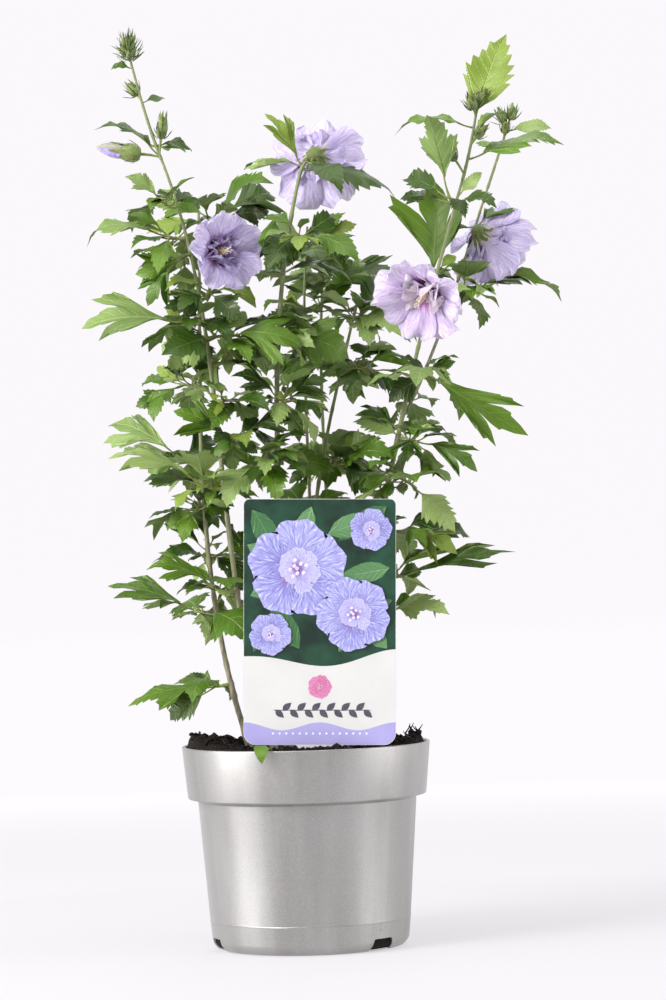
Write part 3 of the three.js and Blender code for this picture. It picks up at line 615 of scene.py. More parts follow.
def fill_in(room, sprays, shoots, extra):
    """Carries each shoot on to its smaller leaves, within the reach that it has."""
    blooms = [(root + direction(heading + BLOOM_TURNS.get(spray.name, 0), pitch)
               * radius * FILL["bloom_middle"], radius * FILL["bloom_reach"])
              for spray in sprays for root, heading, pitch, radius in spray.blooms]
    first, last = FILL["shares"]
    for spray in shoots:
        box = np.concatenate([blade.probes() for blade in spray.blades] or [[spray.point(1)]])
        low, high = box.min(0) - FILL["margin"], box.max(0) + FILL["margin"]
        share = SMALL_SHARE.get(spray.name, SMALL_SHARE.get(spray.stem.name, 1))
        for number in range(FILL["first"], FILL["first"] + round(extra * share)):
            pick = picks(spray.number, number)
            length = FILL["length"] + FILL["spread"] * (pick(5) - FILL["shorter"])
            blade = leaf_at(spray, number, spray.point(first + (last - first) * pick(3)),
                            360 * pick(4), FILL["lowest"] + FILL["rise"] * pick(6),
                            length * FILL["petiole"] * (FILL["stalk"] + pick(9)), length,
                            SIDE["facing"] * (2 * pick(7) - SIDE["bias"]))
            for turn in range(FILL["tries"]):
                blade.heading += FILL["turn"] * min(turn, 1)
                ends = blade.probes()
                inside = (ends > low).all() and (ends < high).all() and all(
                    (np.linalg.norm(ends - centre, axis=1) > reach).all()
                    for centre, reach in blooms)
                if inside and room.is_clear(blade, spray.number, FILL_CLEAR):
                    place(room, spray, blade)
                    break


# ---- Shapes that are repeated ----

class Template:
    """A small shape made once with mesh operators: its corners, faces and face layers."""

    def __init__(self, bm, layer_of=None):
        bm.verts.index_update()
        bm.verts.ensure_lookup_table()
        self.points = np.array([v.co[:] for v in bm.verts])
        self.faces = [[v.index for v in f.verts] for f in bm.faces]
        self.layers = [layer_of(f) if layer_of else 0 for f in bm.faces]
        bm.free()


@cache
def sheet_template(rows, columns):
    """A closed thin sheet: x from -1 to 1 across, y from 0 to 1 along, z 1, 0 or -1 for its
    upper face, rim and lower face."""
    bm = bmesh.new()
    bmesh.ops.create_grid(bm, x_segments=columns, y_segments=rows, size=1.0)
    copy = bmesh.ops.duplicate(bm, geom=bm.verts[:] + bm.edges[:] + bm.faces[:])
    lower = [f for f in copy["geom"] if isinstance(f, bmesh.types.BMFace)]
    under = {v for f in lower for v in f.verts}
    for v in bm.verts:
        rim = abs(v.co.x) > 0.999 or abs(v.co.y) > 0.999
        v.co.z = 0 if rim else (-1 if v in under else 1)
        v.co.y = (v.co.y + 1) / 2
    upper = [f for f in bm.faces if f not in set(lower)]
    bmesh.ops.reverse_faces(bm, faces=upper)
    bmesh.ops.remove_doubles(bm, verts=bm.verts[:], dist=1e-5)
    return Template(bm, lambda f: 1 if sum(v.co.z for v in f.verts) < 0 else 0)


@cache
def tube_template(sides, steps):
    """A closed round bar: x and y on the unit circle, z from 0 to 1."""
    bm = bmesh.new()
    bmesh.ops.create_cone(bm, cap_ends=True, segments=sides, radius1=1, radius2=1, depth=1)
    if steps > 1:
        upright = [e for e in bm.edges if abs(e.verts[0].co.z - e.verts[1].co.z) > 0.5]
        bmesh.ops.subdivide_edges(bm, edges=upright, cuts=steps - 1, use_grid_fill=True)
    bmesh.ops.translate(bm, verts=bm.verts[:], vec=(0, 0, 0.5))
    return Template(bm)


@cache
def ball_template():
    bm = bmesh.new()
    bmesh.ops.create_icosphere(bm, subdivisions=1, radius=1)
    return Template(bm)


class Heap:
    """Small shapes gathered into one mesh, with a flat map and a tint for each corner."""

    def __init__(self):
        self.points, self.flat, self.tint, self.faces, self.finish = [], [], [], [], []
        self.count = 0

    def add(self, shape, points, flat, finish=(0, 0), tint=0.5):
        """finish numbers the finishes of the shape's upper and lower face."""
        self.points.append(points)
        self.flat.append(flat)
        self.tint.append(np.broadcast_to(np.asarray(tint, float), (len(points),)))
        self.faces += [[i + self.count for i in face] for face in shape.faces]
        self.finish += [finish[layer] for layer in shape.layers]
        self.count += len(points)

    def add_ball(self, centre, size, finish):
        ball = ball_template()
        self.add(ball, centre + ball.points * size, ball.points[:, :2], (finish, finish))

    def build(self, name, finishes, sharp=60):
        mesh = bpy.data.meshes.new(name)
        mesh.from_pydata(np.concatenate(self.points) * MM, [], self.faces)
        for finish in finishes:
            mesh.materials.append(finish)
        mesh.polygons.foreach_set("material_index", self.finish)
        corners = np.zeros(len(mesh.loops), int)
        mesh.loops.foreach_get("vertex_index", corners)
        flat = np.concatenate(self.flat)[corners]
        mesh.uv_layers.new(name="flat").data.foreach_set("uv", flat.ravel())
        tint = mesh.attributes.new("tint", "FLOAT", "POINT")
        tint.data.foreach_set("value", np.concatenate(self.tint))
        mesh.validate()
        return show(name, mesh, sharp)


def mesh_of(bm, name, *finishes):
    mesh = bpy.data.meshes.new(name)
    bm.to_mesh(mesh)
    bm.free()
    for finish in finishes:
        mesh.materials.append(finish)
    return mesh


def smooth(mesh, sharp):
    """Smooth, but for the edges that turn by more than this angle."""
    mesh.shade_smooth()
    mesh.set_sharp_from_angle(angle=math.radians(sharp))


def show(name, mesh, sharp=None):
    piece = bpy.data.objects.new(name, mesh)
    bpy.context.scene.collection.objects.link(piece)
    if sharp:
        smooth(mesh, sharp)
    return piece


def hand_over(piece, slot, *nodes):
    """The piece rides on the plant's one body, in place of these solids."""
    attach(piece, "root")
    if nodes:
        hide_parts(*nodes)


def frames_along(points):
    """Normals and binormals along a row of points, turning as little as they can."""
    tangents = np.gradient(points, axis=0)
    tangents /= np.linalg.norm(tangents, axis=1)[:, None]
    normal = np.cross(tangents[0], UP if abs(tangents[0][2]) < 0.9 else np.array([1.0, 0, 0]))
    normals = []
    for tangent in tangents:
        normal = unit(normal - tangent * normal.dot(tangent))
        normals.append(normal)
    normals = np.array(normals)
    return normals, np.cross(tangents, normals)


def add_tube(heap, points, radius, sides, finish=0, tint=0.5, relief=None):
    """A round bar along the points. radius gives its radius at each share of the way, and
    relief the share by which it grows at an angle and a share."""
    points = np.asarray(points, float)
    steps = len(points) - 1
    shape = tube_template(sides, steps)
    normals, binormals = frames_along(points)
    lengths = np.concatenate([[0], np.cumsum(np.linalg.norm(np.diff(points, axis=0), axis=1))])
    level = np.rint(shape.points[:, 2] * steps).astype(int)
    angle = np.arctan2(shape.points[:, 1], shape.points[:, 0])
    reach = np.array([radius(s / steps) for s in range(steps + 1)])[level]
    if relief:
        reach = reach * (1 + relief(angle, level / steps))
    placed = (points[level] + normals[level] * (np.cos(angle) * reach)[:, None]
              + binormals[level] * (np.sin(angle) * reach)[:, None])
    flat = np.stack([angle / (2 * math.pi) + 0.5, lengths[level] * 0.01], 1)
    heap.add(shape, placed, flat, (finish, finish), tint(level / steps) if callable(tint) else tint)


# ---- Finishes ----

def colour(value):
    """Linear red, green, blue and 1, from six screen digits, a grey or a linear colour."""
    if isinstance(value, str):
        parts = [int(value[i:i + 2], 16) / 255 for i in (0, 2, 4)]
        value = [c / 12.92 if c <= 0.04045 else ((c + 0.055) / 1.055) ** 2.4 for c in parts]
    elif isinstance(value, float):
        value = [value] * 3
    return (*value, 1)


class Value:
    """What a shader node gives. Sums with it make maths nodes."""

    def __init__(self, finish, socket):
        self.finish, self.socket = finish, socket

    def __add__(self, other):
        return self.finish.maths("ADD", self, other)

    def __sub__(self, other):
        return self.finish.maths("SUBTRACT", self, other)

    def __rsub__(self, other):
        return self.finish.maths("SUBTRACT", other, self)

    def __mul__(self, other):
        return self.finish.maths("MULTIPLY", self, other)

    def __truediv__(self, other):
        return self.finish.maths("DIVIDE", self, other)


class Finish:
    """A material under construction: a plain shader with nodes added one by one."""

    def __init__(self, name, rough_to=0.5, **sockets):
        self.material = bpy.data.materials.new(name)
        self.material.use_nodes = True
        self.nodes = self.material.node_tree.nodes
        self.shader = self.nodes["Principled BSDF"]
        self.set("Roughness", rough_to)
        for socket, value in sockets.items():
            self.set(socket.replace("_", " "), value)

    def put(self, socket, value):
        if isinstance(value, Value):
            self.material.node_tree.links.new(value.socket, socket)
        elif socket.type == "RGBA":
            socket.default_value = colour(value)
        else:
            socket.default_value = value

    def set(self, socket, value):
        self.put(self.shader.inputs[socket], value)

    def base(self, value):
        self.set("Base Color", value)

    def node(self, kind, inputs=(), output=0, **settings):
        """A new node's output, with these inputs and settings."""
        node = self.nodes.new("ShaderNode" + kind)
        for name, value in settings.items():
            setattr(node, name, value)
        for key, value in dict(inputs).items():
            self.put(node.inputs[key], value)
        return Value(self, node.outputs[output])

    def maths(self, operation, first, second=0.0, clamp=False):
        return self.node("Math", {0: first, 1: second}, operation=operation, use_clamp=clamp)

    def parts(self, vector):
        """The first two parts of a vector."""
        x = self.node("SeparateXYZ", {0: vector})
        return x, Value(self, x.socket.node.outputs[1])

    def stretched(self, vector, scale):
        return self.node("Mapping", {"Vector": vector, "Scale": scale})

    def place(self, scale=(1, 1, 1)):
        return self.stretched(self.node("TexCoord", (), "Object"), scale)

    def flat_map(self):
        """Along and across the leaf, petal or bar, laid flat."""
        return self.node("UVMap", uv_map="flat")

    def tint(self):
        return self.node("Attribute", (), "Fac", attribute_name="tint")

    def grain(self, scale, detail=3.0, rough_to=0.55, where=None):
        where = where or self.place()
        return self.node("TexNoise", {"Vector": where, "Scale": scale, "Detail": detail,
                                      "Roughness": rough_to}, "Fac")

    def spots(self, scale, where=None):
        """How far the nearest of many scattered points is."""
        return self.node("TexVoronoi", {"Vector": where or self.place(), "Scale": scale},
                         "Distance")

    def ramp(self, factor, *stops):
        """A value or colour that goes from the first stop to the second."""
        ramp = self.node("ValToRGB", {"Fac": factor}, "Color")
        for element, (position, value) in zip(ramp.socket.node.color_ramp.elements, stops):
            element.position = position
            element.color = colour(value)
        return ramp

    def mix(self, factor, first, second):
        return self.node("Mix", {"Factor": factor, 6: first, 7: second}, 2, data_type="RGBA")

    def bump(self, height, distance, strength=1.0):
        self.set("Normal", self.node("Bump", {"Height": height, "Distance": distance,
                                              "Strength": strength}))


def leaf_veins(finish):
    """1 on the midrib, the two low side veins and the small veins, 0 between them."""
    uv = finish.flat_map()
    x, y = finish.parts(uv)
    side = finish.maths("ABSOLUTE", y)
    x = x + (finish.grain(9, 2, where=uv) - 0.5) * 0.05

    def line(distance, width):
        near = finish.maths("ABSOLUTE", distance) / width
        return finish.maths("SUBTRACT", 1.0, near, clamp=True)

    midrib = line(side, 0.017 - x * 0.011)
    low = line(side - x * 0.6, 0.012) * finish.maths("LESS_THAN", x, 0.62)
    wave = finish.maths("PINGPONG", (x - side * 1.1) * 8.0 + 8.0, 0.5)
    small = finish.maths("MULTIPLY", wave - 0.41, 9.0, clamp=True) * 0.55
    return finish.maths("MAXIMUM", finish.maths("MAXIMUM", midrib, low), small)


def leaf_finish(name, main, shade, vein, rough_to, under=False):
    finish = Finish(name, rough_to, Specular_IOR_Level=0.6, Specular_Tint=(0.96, 1, 0.72))
    veins = leaf_veins(finish)
    patches = finish.grain(34, 4)
    body = finish.ramp(patches * 0.5 + finish.tint() * 0.75, (0.25, shade), (0.85, main))
    finish.base(finish.mix(veins * (0.7 if under else 0.5), body, vein))
    finish.bump(veins * (1.0 if under else -1.0) + finish.grain(700, 2) * 0.25, 0.0005, 0.7)
    finish.set("Roughness", finish.ramp(patches, (0.3, rough_to - 0.07), (0.7, rough_to + 0.08)))
    return finish.material


def bark_finish(name, main, shade, young):
    """Streaked bark with pale pores, greener towards the young end of the stem."""
    finish = Finish(name, 0.7)
    along = finish.place((1, 1, 0.22))
    streaks = finish.grain(420, 5, where=along)
    age = finish.tint() + (finish.grain(45, 3) - 0.5) * 0.9
    body = finish.ramp(streaks, (0.32, shade), (0.6, main))
    body = finish.mix(finish.ramp(age, (0.15, 0.0), (0.75, 0.9)), body, young)
    pores = finish.ramp(finish.spots(330.0, along), (0.1, 1.0), (0.2, 0.0))
    finish.base(finish.mix(pores * 0.6, body, "b9b097"))
    finish.bump(streaks + pores * 0.4, 0.0006, 0.8)
    return finish.material


def shoot_finish():
    finish = Finish("green_shoots", 0.5)
    streaks = finish.grain(300, 3, where=finish.place((1, 1, 0.3)))
    body = finish.ramp(streaks, (0.3, "5f6b34"), (0.7, "8b9a4e"))
    red = finish.maths("MULTIPLY", finish.tint() - 0.55, 1.6, clamp=True)
    finish.base(finish.mix(red, body, "6d4a3a"))
    finish.bump(streaks, 0.0003, 0.6)
    return finish.material


def petal_finish(name, edge, main, vein, eye, eye_reach, eye_strength, lines=0.45, through=0.5):
    """A silky petal: veins run out from the tone at its foot. through is how much light it
    lets through."""
    finish = Finish(name, 0.55, Subsurface_Weight=through, Subsurface_Scale=0.002,
                    Subsurface_Radius=(1, 1, 1), Specular_IOR_Level=0.25)
    uv = finish.flat_map()
    along, across = finish.parts(uv)
    wander = finish.grain(5, 3, where=uv)
    fan = across / (along + 0.25) + wander * 0.1
    where = finish.node("CombineXYZ", {0: along * 0.16, 1: fan})
    rays, fine = finish.grain(26, 3, where=where), finish.grain(80, 2, where=where)
    spread = along * 0.75 + (wander + finish.tint()) * 0.3
    # Paler towards the petal's end: partly the petal's own tone, partly lifted towards white as
    # painted sheen.
    body = finish.ramp(spread, (0.3, main), (0.95, edge))
    body = finish.mix(finish.ramp(rays, (0.5, 0.0), (0.68, lines)), body, vein)
    body = finish.mix(finish.ramp(fine, (0.5, 0.0), (0.75, lines * 0.4)), body, vein)
    # Near-white streaks beside the veins are painted sheen, the glint of the silky crimps.
    body = finish.mix(finish.ramp(rays, (0.34, lines), (0.46, 0.0)), body, "ece6f5")
    dark = finish.ramp(along + (0.5 - rays) * 0.6, (eye_reach * 0.45, eye_strength),
                       (eye_reach, 0.0))
    finish.base(finish.mix(dark, body, eye))
    finish.bump(rays + fine * 0.5, 0.0005, 0.7)
    return finish.material


def calyx_finish(name, main, shade, tip):
    finish = Finish(name, 0.6, Sheen_Weight=0.2)
    uv = finish.flat_map()
    ribs = finish.grain(30, 3, where=finish.stretched(uv, (0.3, 2, 1)))
    body = finish.mix(finish.ramp(ribs, (0.35, 0.0), (0.7, 1.0)), shade, main)
    along = finish.parts(uv)[0]
    finish.base(finish.mix(finish.ramp(along, (0.6, 0.0), (1.0, 0.7)), body, tip))
    finish.bump(ribs, 0.0005, 0.7)
    return finish.material


def cream_finish(name, main, shade):
    finish = Finish(name, 0.6)
    patches = finish.grain(420, 3)
    finish.base(finish.ramp(patches, (0.35, shade), (0.65, main)))
    finish.bump(patches, 0.0004, 0.8)
    return finish.material


def pot_finish(main, shade):
    """Silver plastic: faint upright flow bands, flecks of metal and specks of dirt."""
    finish = Finish("silver_plastic", 0.36, Metallic=0.8, Specular_IOR_Level=0.5)
    bands = finish.grain(30, 3, where=finish.place((1, 1, 0.05)))
    flecks = finish.grain(1600, 2)
    smudge = finish.grain(14, 4)
    body = finish.ramp(bands, (0.32, shade), (0.68, main))
    body = finish.mix(finish.ramp(flecks, (0.45, 0.0), (0.75, 0.22)), body, "f2f2f2")
    few = finish.ramp(finish.grain(22, 2), (0.62, 0.0), (0.66, 1.0))
    dirt = finish.ramp(finish.spots(95.0), (0.05, 1.0), (0.09, 0.0)) * few
    body = finish.mix(finish.ramp(smudge, (0.55, 0.0), (0.8, 0.18)), body, "8a867f")
    finish.base(finish.mix(dirt * 0.7, body, "3b312a"))
    finish.set("Roughness", finish.ramp(smudge, (0.3, 0.31), (0.75, 0.46)))
    finish.bump(flecks + bands * 0.6, 0.0002, 0.5)
    return finish.material


def soil_finish(name, main, shade, flake):
    finish = Finish(name, 0.92, Specular_IOR_Level=0.25)
    crumbs = finish.grain(260, 6, 0.7)
    body = finish.ramp(crumbs, (0.35, shade), (0.62, main))
    light = finish.ramp(finish.grain(520, 2), (0.68, 0.0), (0.74, 0.8))
    finish.base(finish.mix(light, body, flake))
    finish.bump(crumbs + finish.spots(420.0), 0.0016)
    return finish.material


def print_finish(name, main, shade, scale):
    """Printed, coated card: two near tones in soft patches under a clear coat."""
    finish = Finish(name, 0.3, Coat_Weight=0.35, Coat_Roughness=0.15)
    finish.base(finish.ramp(finish.grain(scale, 4), (0.35, shade), (0.65, main)))
    finish.bump(finish.grain(900, 2), 0.0001, 0.25)
    return finish.material


def studio_finish(main, reach):
    """Pale paper under the plant, which glows: near the plant enough to lighten its shadow, more
    further out and most behind it.
    """
    finish = Finish("studio_floor", 0.9, Specular_IOR_Level=0.05)
    x, y = finish.parts(finish.place())
    away = finish.maths("SQRT", x * x + y * y) / reach
    paper = finish.ramp(finish.grain(2, 2), (0.3, main), (0.7, "88868a"))
    far = finish.ramp(away, (0.07, 0.0), (0.22, 1.0))
    finish.base(finish.mix(far, paper, "141414"))
    glow = finish.ramp(y / (reach * 2) + 0.5, (0.3, 0.42), (0.6, 0.97))
    lit = finish.ramp(away, (0.06, 0.0), (0.2, 1.0))
    # The glow near the plant is painted fill light, which lightens the plant's shadow on the floor.
    finish.set("Emission Strength", finish.mix(lit, "ccc9cb", glow))
    finish.set("Emission Color", finish.mix(lit, "fffcfe", "fefbff"))
    return finish.material


# ---- Settings that a user would change ----

def length_setting(name, description, default):
    return bpy.props.FloatProperty(name=name, description=description, default=default,
                                   min=0.0, unit="LENGTH", precision=4)


def share_setting(name, description, default, low=0.0, high=1.0):
    return bpy.props.FloatProperty(name=name, description=description, default=default,
                                   min=low, max=high, subtype="FACTOR")


def count_setting(name, description, default):
    return bpy.props.IntProperty(name=name, description=description, default=default, min=0)


def colour_setting(name, description, text):
    return bpy.props.FloatVectorProperty(name=name, description=description, size=3, min=0.0,
                                         max=1.0, subtype="COLOR", default=colour(text)[:3])


class SHRUB_PG_pot(bpy.types.PropertyGroup):
    lip_round: length_setting("Lip rounding", "Radius of the rolled edge of the rim", 0.0011)
    shell: colour_setting("Plastic", "Colour of the pot's plastic", "adacaa")
    shell_shade: colour_setting("Plastic, darker bands", "Darker tone of the flow bands", "979593")


class SHRUB_PG_compost(bpy.types.PropertyGroup):
    lump: length_setting("Lump height", "How far the lumps stand out of the compost", 0.0035)
    crumbs: count_setting("Crumbs", "Loose crumbs on the compost", 900)
    earth: colour_setting("Compost", "Colour of the damp compost", "1f1713")


class SHRUB_PG_label(bpy.types.PropertyGroup):
    raised: length_setting("Print thickness", "How far each printed shape stands off the card",
                           0.00004)
    ground: colour_setting("Picture ground", "Dark green behind the picture", "1f4a35")
    strip: colour_setting("Strip", "Colour of the strip at the foot", "a9a3d6")
    card: colour_setting("Card", "Colour of the bare card", "d6d6d3")


class SHRUB_PG_wood(bpy.types.PropertyGroup):
    relief: share_setting("Bark relief", "Depth of the bark's ridges as a share of the radius",
                          0.1, 0.0, 0.5)
    node_swell: share_setting("Node swelling",
                              "How much a stem swells where a shoot leaves it", 0.22)
    slender: share_setting("Slenderness", "Radius of the bark as a share of the solid's",
                           0.84, 0.5)
    bark: colour_setting("Bark", "Colour of the bark", "938a74")


class SHRUB_PG_leaves(bpy.types.PropertyGroup):
    thickness: length_setting("Leaf thickness", "Thickness of a leaf at its midrib", 0.0005)
    small: count_setting("Small leaves", "Small leaves tried on each leafy shoot", 13)
    fresh: colour_setting("Fresh leaf", "Colour of the youngest leaves", "768c34")
    middle: colour_setting("Grown leaf", "Colour of most leaves", "557815")
    deep: colour_setting("Old leaf", "Colour of the darkest leaves", "32500c")
    # The pale leaf colour is painted sheen: a lighter green in place of the gloss a leaf catches.
    pale: colour_setting("Pale leaf", "Colour of the leaves that have lost their gloss", "8da45c")
    below: colour_setting("Underside", "Colour of the undersides", "788f4c")


class SHRUB_PG_blooms(bpy.types.PropertyGroup):
    ruffle: share_setting("Ruffle", "Depth of the petals' waves as a share of their length",
                          0.09, 0.0, 0.3)
    petal: colour_setting("Petal", "Colour of the petals", "ab9bd2")
    vein: colour_setting("Petal veins", "Colour of the petals' veins", "8b74b8")
    eye: colour_setting("Eye", "Colour at the foot of the petals", "742060")


class SHRUB_PG_studio(bpy.types.PropertyGroup):
    distance: length_setting("Camera distance", "From the plant's axis to the camera", 3.1)
    roll: bpy.props.FloatProperty(name="Camera roll", subtype="ANGLE", default=math.radians(1.6),
                                  description="Turn of the camera about its view")
    reach: length_setting("Studio radius", "From the plant's axis to the backdrop", 8.0)
    floor: colour_setting("Floor", "Colour of the studio floor and backdrop", "868488")


# ---- Pieces ----

GROUPS = {
    "left": ("left_outer", "left_tall"),
    "middle": ("centre_left", "centre", "back", "centre_right"),
    "right": ("right", "right_outer"),
}


@cache
def grow_plant(small):
    """The shrub's stems and sprays, by the rule of its solid model and with small leaves."""
    room = Room()
    stems = grow_stems(room)
    sprays = grow_sprays(room, stems)
    shoots = grow_shoots(room, stems, sprays)
    fill_in(room, sprays, shoots, small)
    for spray in sprays:
        for number, blade in enumerate(spray.blades):
            vars(blade).update(LEAF_LOOKS.get(spray.name, {}).get(number, {}))
    return stems, sprays


def plant():
    return grow_plant(bpy.context.scene.shrub_leaves.small)


def turned_shape(profile, segments):
    """A bmesh spun from a half outline of radius and height in millimetres."""
    bm = bmesh.new()
    verts = [bm.verts.new((r * MM, 0, z * MM)) for r, z in profile]
    edges = [bm.edges.new(pair) for pair in zip(verts, verts[1:])]
    bmesh.ops.spin(bm, geom=verts + edges, axis=(0, 0, 1), cent=(0, 0, 0),
                   angle=2 * math.pi, steps=segments, use_merge=True)
    bmesh.ops.remove_doubles(bm, verts=bm.verts[:], dist=1e-6)
    bmesh.ops.recalc_face_normals(bm, faces=bm.faces[:])
    return bm


def rounded(corners, steps=5):
    """The outline with these corners, each rounded to its radius."""
    out = [corners[0][0]]
    for (before, _), (here, radius), (after, _) in zip(corners, corners[1:], corners[2:]):
        here_v, a, b = (np.array(p, float) for p in (here, before, after))
        start = here_v + unit(a - here_v) * radius
        end = here_v + unit(b - here_v) * radius
        out += [tuple(point) for point in curve_row((start, here_v, end), steps)]
    return out + [corners[-1][0]]


def settle(piece):
    """Makes the piece's modifiers part of its mesh."""
    graph = bpy.context.evaluated_depsgraph_get()
    mesh = bpy.data.meshes.new_from_object(piece.evaluated_get(graph))
    piece.modifiers.clear()
    old, piece.data = piece.data, mesh
    bpy.data.meshes.remove(old)


def pot_outline(lip):
    """Corners of the half outline, up the outside and down the inside, with their radii."""
    base, shoulder, collar_foot = POT["base"], POT["shoulder"], POT["collar_foot"]
    edge, wall, rim, height = POT["edge"], POT["wall"], POT["rim"], POT["height"]
    step, line = height - POT["collar"], POT_TRIM["line"]
    inner_ring, outer_ring = POT_TRIM["ring"]
    out, over = POT_TRIM["line_out"]
    at_line = base + (shoulder - base) * line / step
    return [((0, 0), 0), ((base - inner_ring, 0), 0.5),
            ((base - outer_ring, POT_TRIM["ring_rise"]), 0.5), ((base - edge, 0), 2.2),
            ((base, edge), 3.0), ((at_line, line - POT_TRIM["line_half"]), 0.1),
            ((at_line + out, line), 0.1), ((at_line + over, line + POT_TRIM["line_half"]), 0.1),
            ((shoulder, step), 0.8), ((collar_foot, step), 1.3), ((rim, height), lip),
            ((rim - POT["lip"], height), lip), ((collar_foot - wall, step + wall), 0.8),
            ((shoulder - wall, step - 2 * wall), 0.8), ((base - wall, edge), 1.5),
            ((base - edge, wall), 1.5), ((0, wall), 0)]


def notch_cutter(heading):
    """A block in the shape of one drain notch, through the wall at this heading."""
    bm = bmesh.new()
    bmesh.ops.create_cube(bm, size=1)
    for v in bm.verts:
        top = v.co.z > 0
        half = (NOTCH["top"] if top else NOTCH["foot"] + POT_TRIM["notch_ease"]) / 2
        low = -POT_TRIM["notch_ease"]
        v.co = ((POT["base"] + POT_TRIM["notch_depth"] * v.co.x) * MM,
                math.copysign(half, v.co.y) * MM, (NOTCH["height"] if top else low) * MM)
    through = [e for e in bm.edges if abs(e.verts[0].co.x - e.verts[1].co.x) > MM]
    bmesh.ops.bevel(bm, geom=through, offset=POT_TRIM["notch_round"] * MM, segments=3,
                    affect="EDGES", profile=0.5, material=-1)
    bmesh.ops.rotate(bm, verts=bm.verts[:], cent=(0, 0, 0),
                     matrix=Matrix.Rotation(math.radians(heading), 3, "Z"))
    bmesh.ops.recalc_face_normals(bm, faces=bm.faces[:])
    return show("notch", mesh_of(bm, "notch"))


class SHRUB_OT_pot(bpy.types.Operator):
    """Builds the nursery pot with its collar, parting line and drain notches"""

    bl_idname = "shrub.pot"
    bl_label = "Build pot"

    def execute(self, context):
        settings = context.scene.shrub_pot
        bm = turned_shape(rounded(pot_outline(settings.lip_round / MM)), POT_TRIM["segments"])
        shell = pot_finish(settings.shell, settings.shell_shade)
        piece = show("nursery_pot", mesh_of(bm, "nursery_pot", shell))
        cutters = [notch_cutter(heading) for heading in NOTCH["headings"]]
        for cutter in cutters:
            notch = piece.modifiers.new("notch", "BOOLEAN")
            notch.object, notch.operation, notch.solver = cutter, "DIFFERENCE", "EXACT"
        settle(piece)
        for cutter in cutters:
            bpy.data.objects.remove(cutter)
        smooth(piece.data, POT_TRIM["sharp"])
        hand_over(piece, "pot", "pot")
        return {"FINISHED"}


def soil_height(x, y, lump):
    """Height of the compost at a place, in millimetres."""
    share = min(1, max(0, (math.hypot(x, y) - SOIL["flat_radius"]) / SOIL["slope"]))
    heading = math.degrees(math.atan2(y, x)) % 360
    heap = max(height * math.exp(-(((heading - middle) / spread) ** 2))
               for middle, spread, height in SOIL["heaps"])
    here = Vector((x, y, LUMPS["layer"]))
    coarse = rough.fractal(here * LUMPS["coarse"], 1.0, 2.0, LUMPS["octaves"])
    fine = rough.noise(here * LUMPS["fine"])
    lumps = coarse * LUMPS["coarse_height"] + fine * LUMPS["fine_height"]
    ease = LUMPS["middle"] + (1 - LUMPS["middle"]) * share
    return SOIL["flat"] + share * heap * LUMPS["heap"] + ease * lump * lumps


def compost_bed(lump, earth):
    """The compost that fills the pot, lumpy on top and smooth where it meets the wall."""
    p, rings, flat = POT, BED["rings"], SOIL["flat"]
    step, off = p["height"] - p["collar"], p["wall"] + GAP
    bm = turned_shape(
        [(0, off), (p["base"] - p["edge"] - GAP, off), (p["base"] - off, p["edge"] + GAP),
         (p["shoulder"] - off, step - 2 * p["wall"]),
         (p["collar_foot"] - off - BED["ease"], step + p["wall"] + GAP),
         *((SOIL_EDGE * (1 - i / rings), flat) for i in range(rings)), (0, flat)],
        BED["segments"])
    for v in bm.verts:
        if v.co.z > (flat - 0.1) * MM:
            x, y = v.co.x / MM, v.co.y / MM
            fade = min(1, max(0, (SOIL_EDGE - math.hypot(x, y)) / BED["fade"]))
            rise = soil_height(x, y, lump) - flat
            v.co.z = (flat + rise * fade - (1 - fade)) * MM
    mesh = mesh_of(bm, "compost_bed", earth)
    mesh.shade_smooth()
    return show("compost_bed", mesh)


def add_crumb(heap, draws, points):
    heap.add(ball_template(), points, points[:, :2] * 0.01, (0, 0), draws.uniform(0, 1))


def add_loose_crumb(heap, draws, lump):
    ball = ball_template().points
    heading = draws.uniform(0, 2 * math.pi)
    size = draws.gamma(*CRUMBS["size"]) + CRUMBS["least"]
    x, y = polar(SOIL_EDGE * math.sqrt(draws.uniform(*CRUMBS["within"])) - size, heading)
    squash = draws.uniform(*CRUMBS["squash"], 3) * size
    jolt = draws.uniform(*CRUMBS["jolt"], (len(ball), 1))
    spot = (x, y, soil_height(x, y, lump) + size * CRUMBS["lifted"])
    add_crumb(heap, draws, ball * squash * jolt + spot)


def add_root(heap, draws, lump):
    """A bit of root that lies on the compost, unless it would reach the wall."""
    step = ROOTS["step"]
    heading = draws.uniform(0, 2 * math.pi)
    x, y = polar(SOIL_EDGE * math.sqrt(draws.uniform(*ROOTS["within"])), heading)
    span = draws.uniform(-step, step, (3, 2))
    rise = draws.uniform(*ROOTS["rise"], 3)
    path = [(x + dx, y + dy, soil_height(x + dx, y + dy, lump) + up)
            for (dx, dy), up in zip(np.cumsum(span, 0) * ROOTS["slack"], rise)]
    if max(math.hypot(px, py) for px, py, _ in path) > SOIL_EDGE - 1:
        return
    thick = draws.uniform(*ROOTS["radius"])
    add_tube(heap, curve_row(path, 6), lambda s: thick * (1 - ROOTS["taper"] * s), 5, 1)


def add_card_crumb(heap, draws, lump):
    size = draws.uniform(*CARD_CRUMBS["size"])
    beside = CARD_CRUMBS["beside"]
    x = LABEL["x"] + draws.uniform(-beside, beside)
    y = LABEL["y"] - draws.uniform(*CARD_CRUMBS["before"])
    z = min(soil_height(x, y, lump) + size * draws.uniform(*CARD_CRUMBS["stack"]),
            LABEL["foot"] - 0.5 - size)
    squash = draws.uniform(*CARD_CRUMBS["squash"], 3)
    add_crumb(heap, draws, ball_template().points * squash * size + (x, y, z))


def add_chip(heap, draws, lump):
    x, y = draws.uniform(*CHIPS["x"]), draws.uniform(*CHIPS["y"])
    path = [(x, y, soil_height(x, y, lump) - 1)]
    for _ in range(3):
        path.append(path[-1] + draws.uniform(CHIPS["low"], CHIPS["high"]))
    add_tube(heap, path, lambda s: CHIPS["radius"] * (1 - CHIPS["taper"] * s), 5)


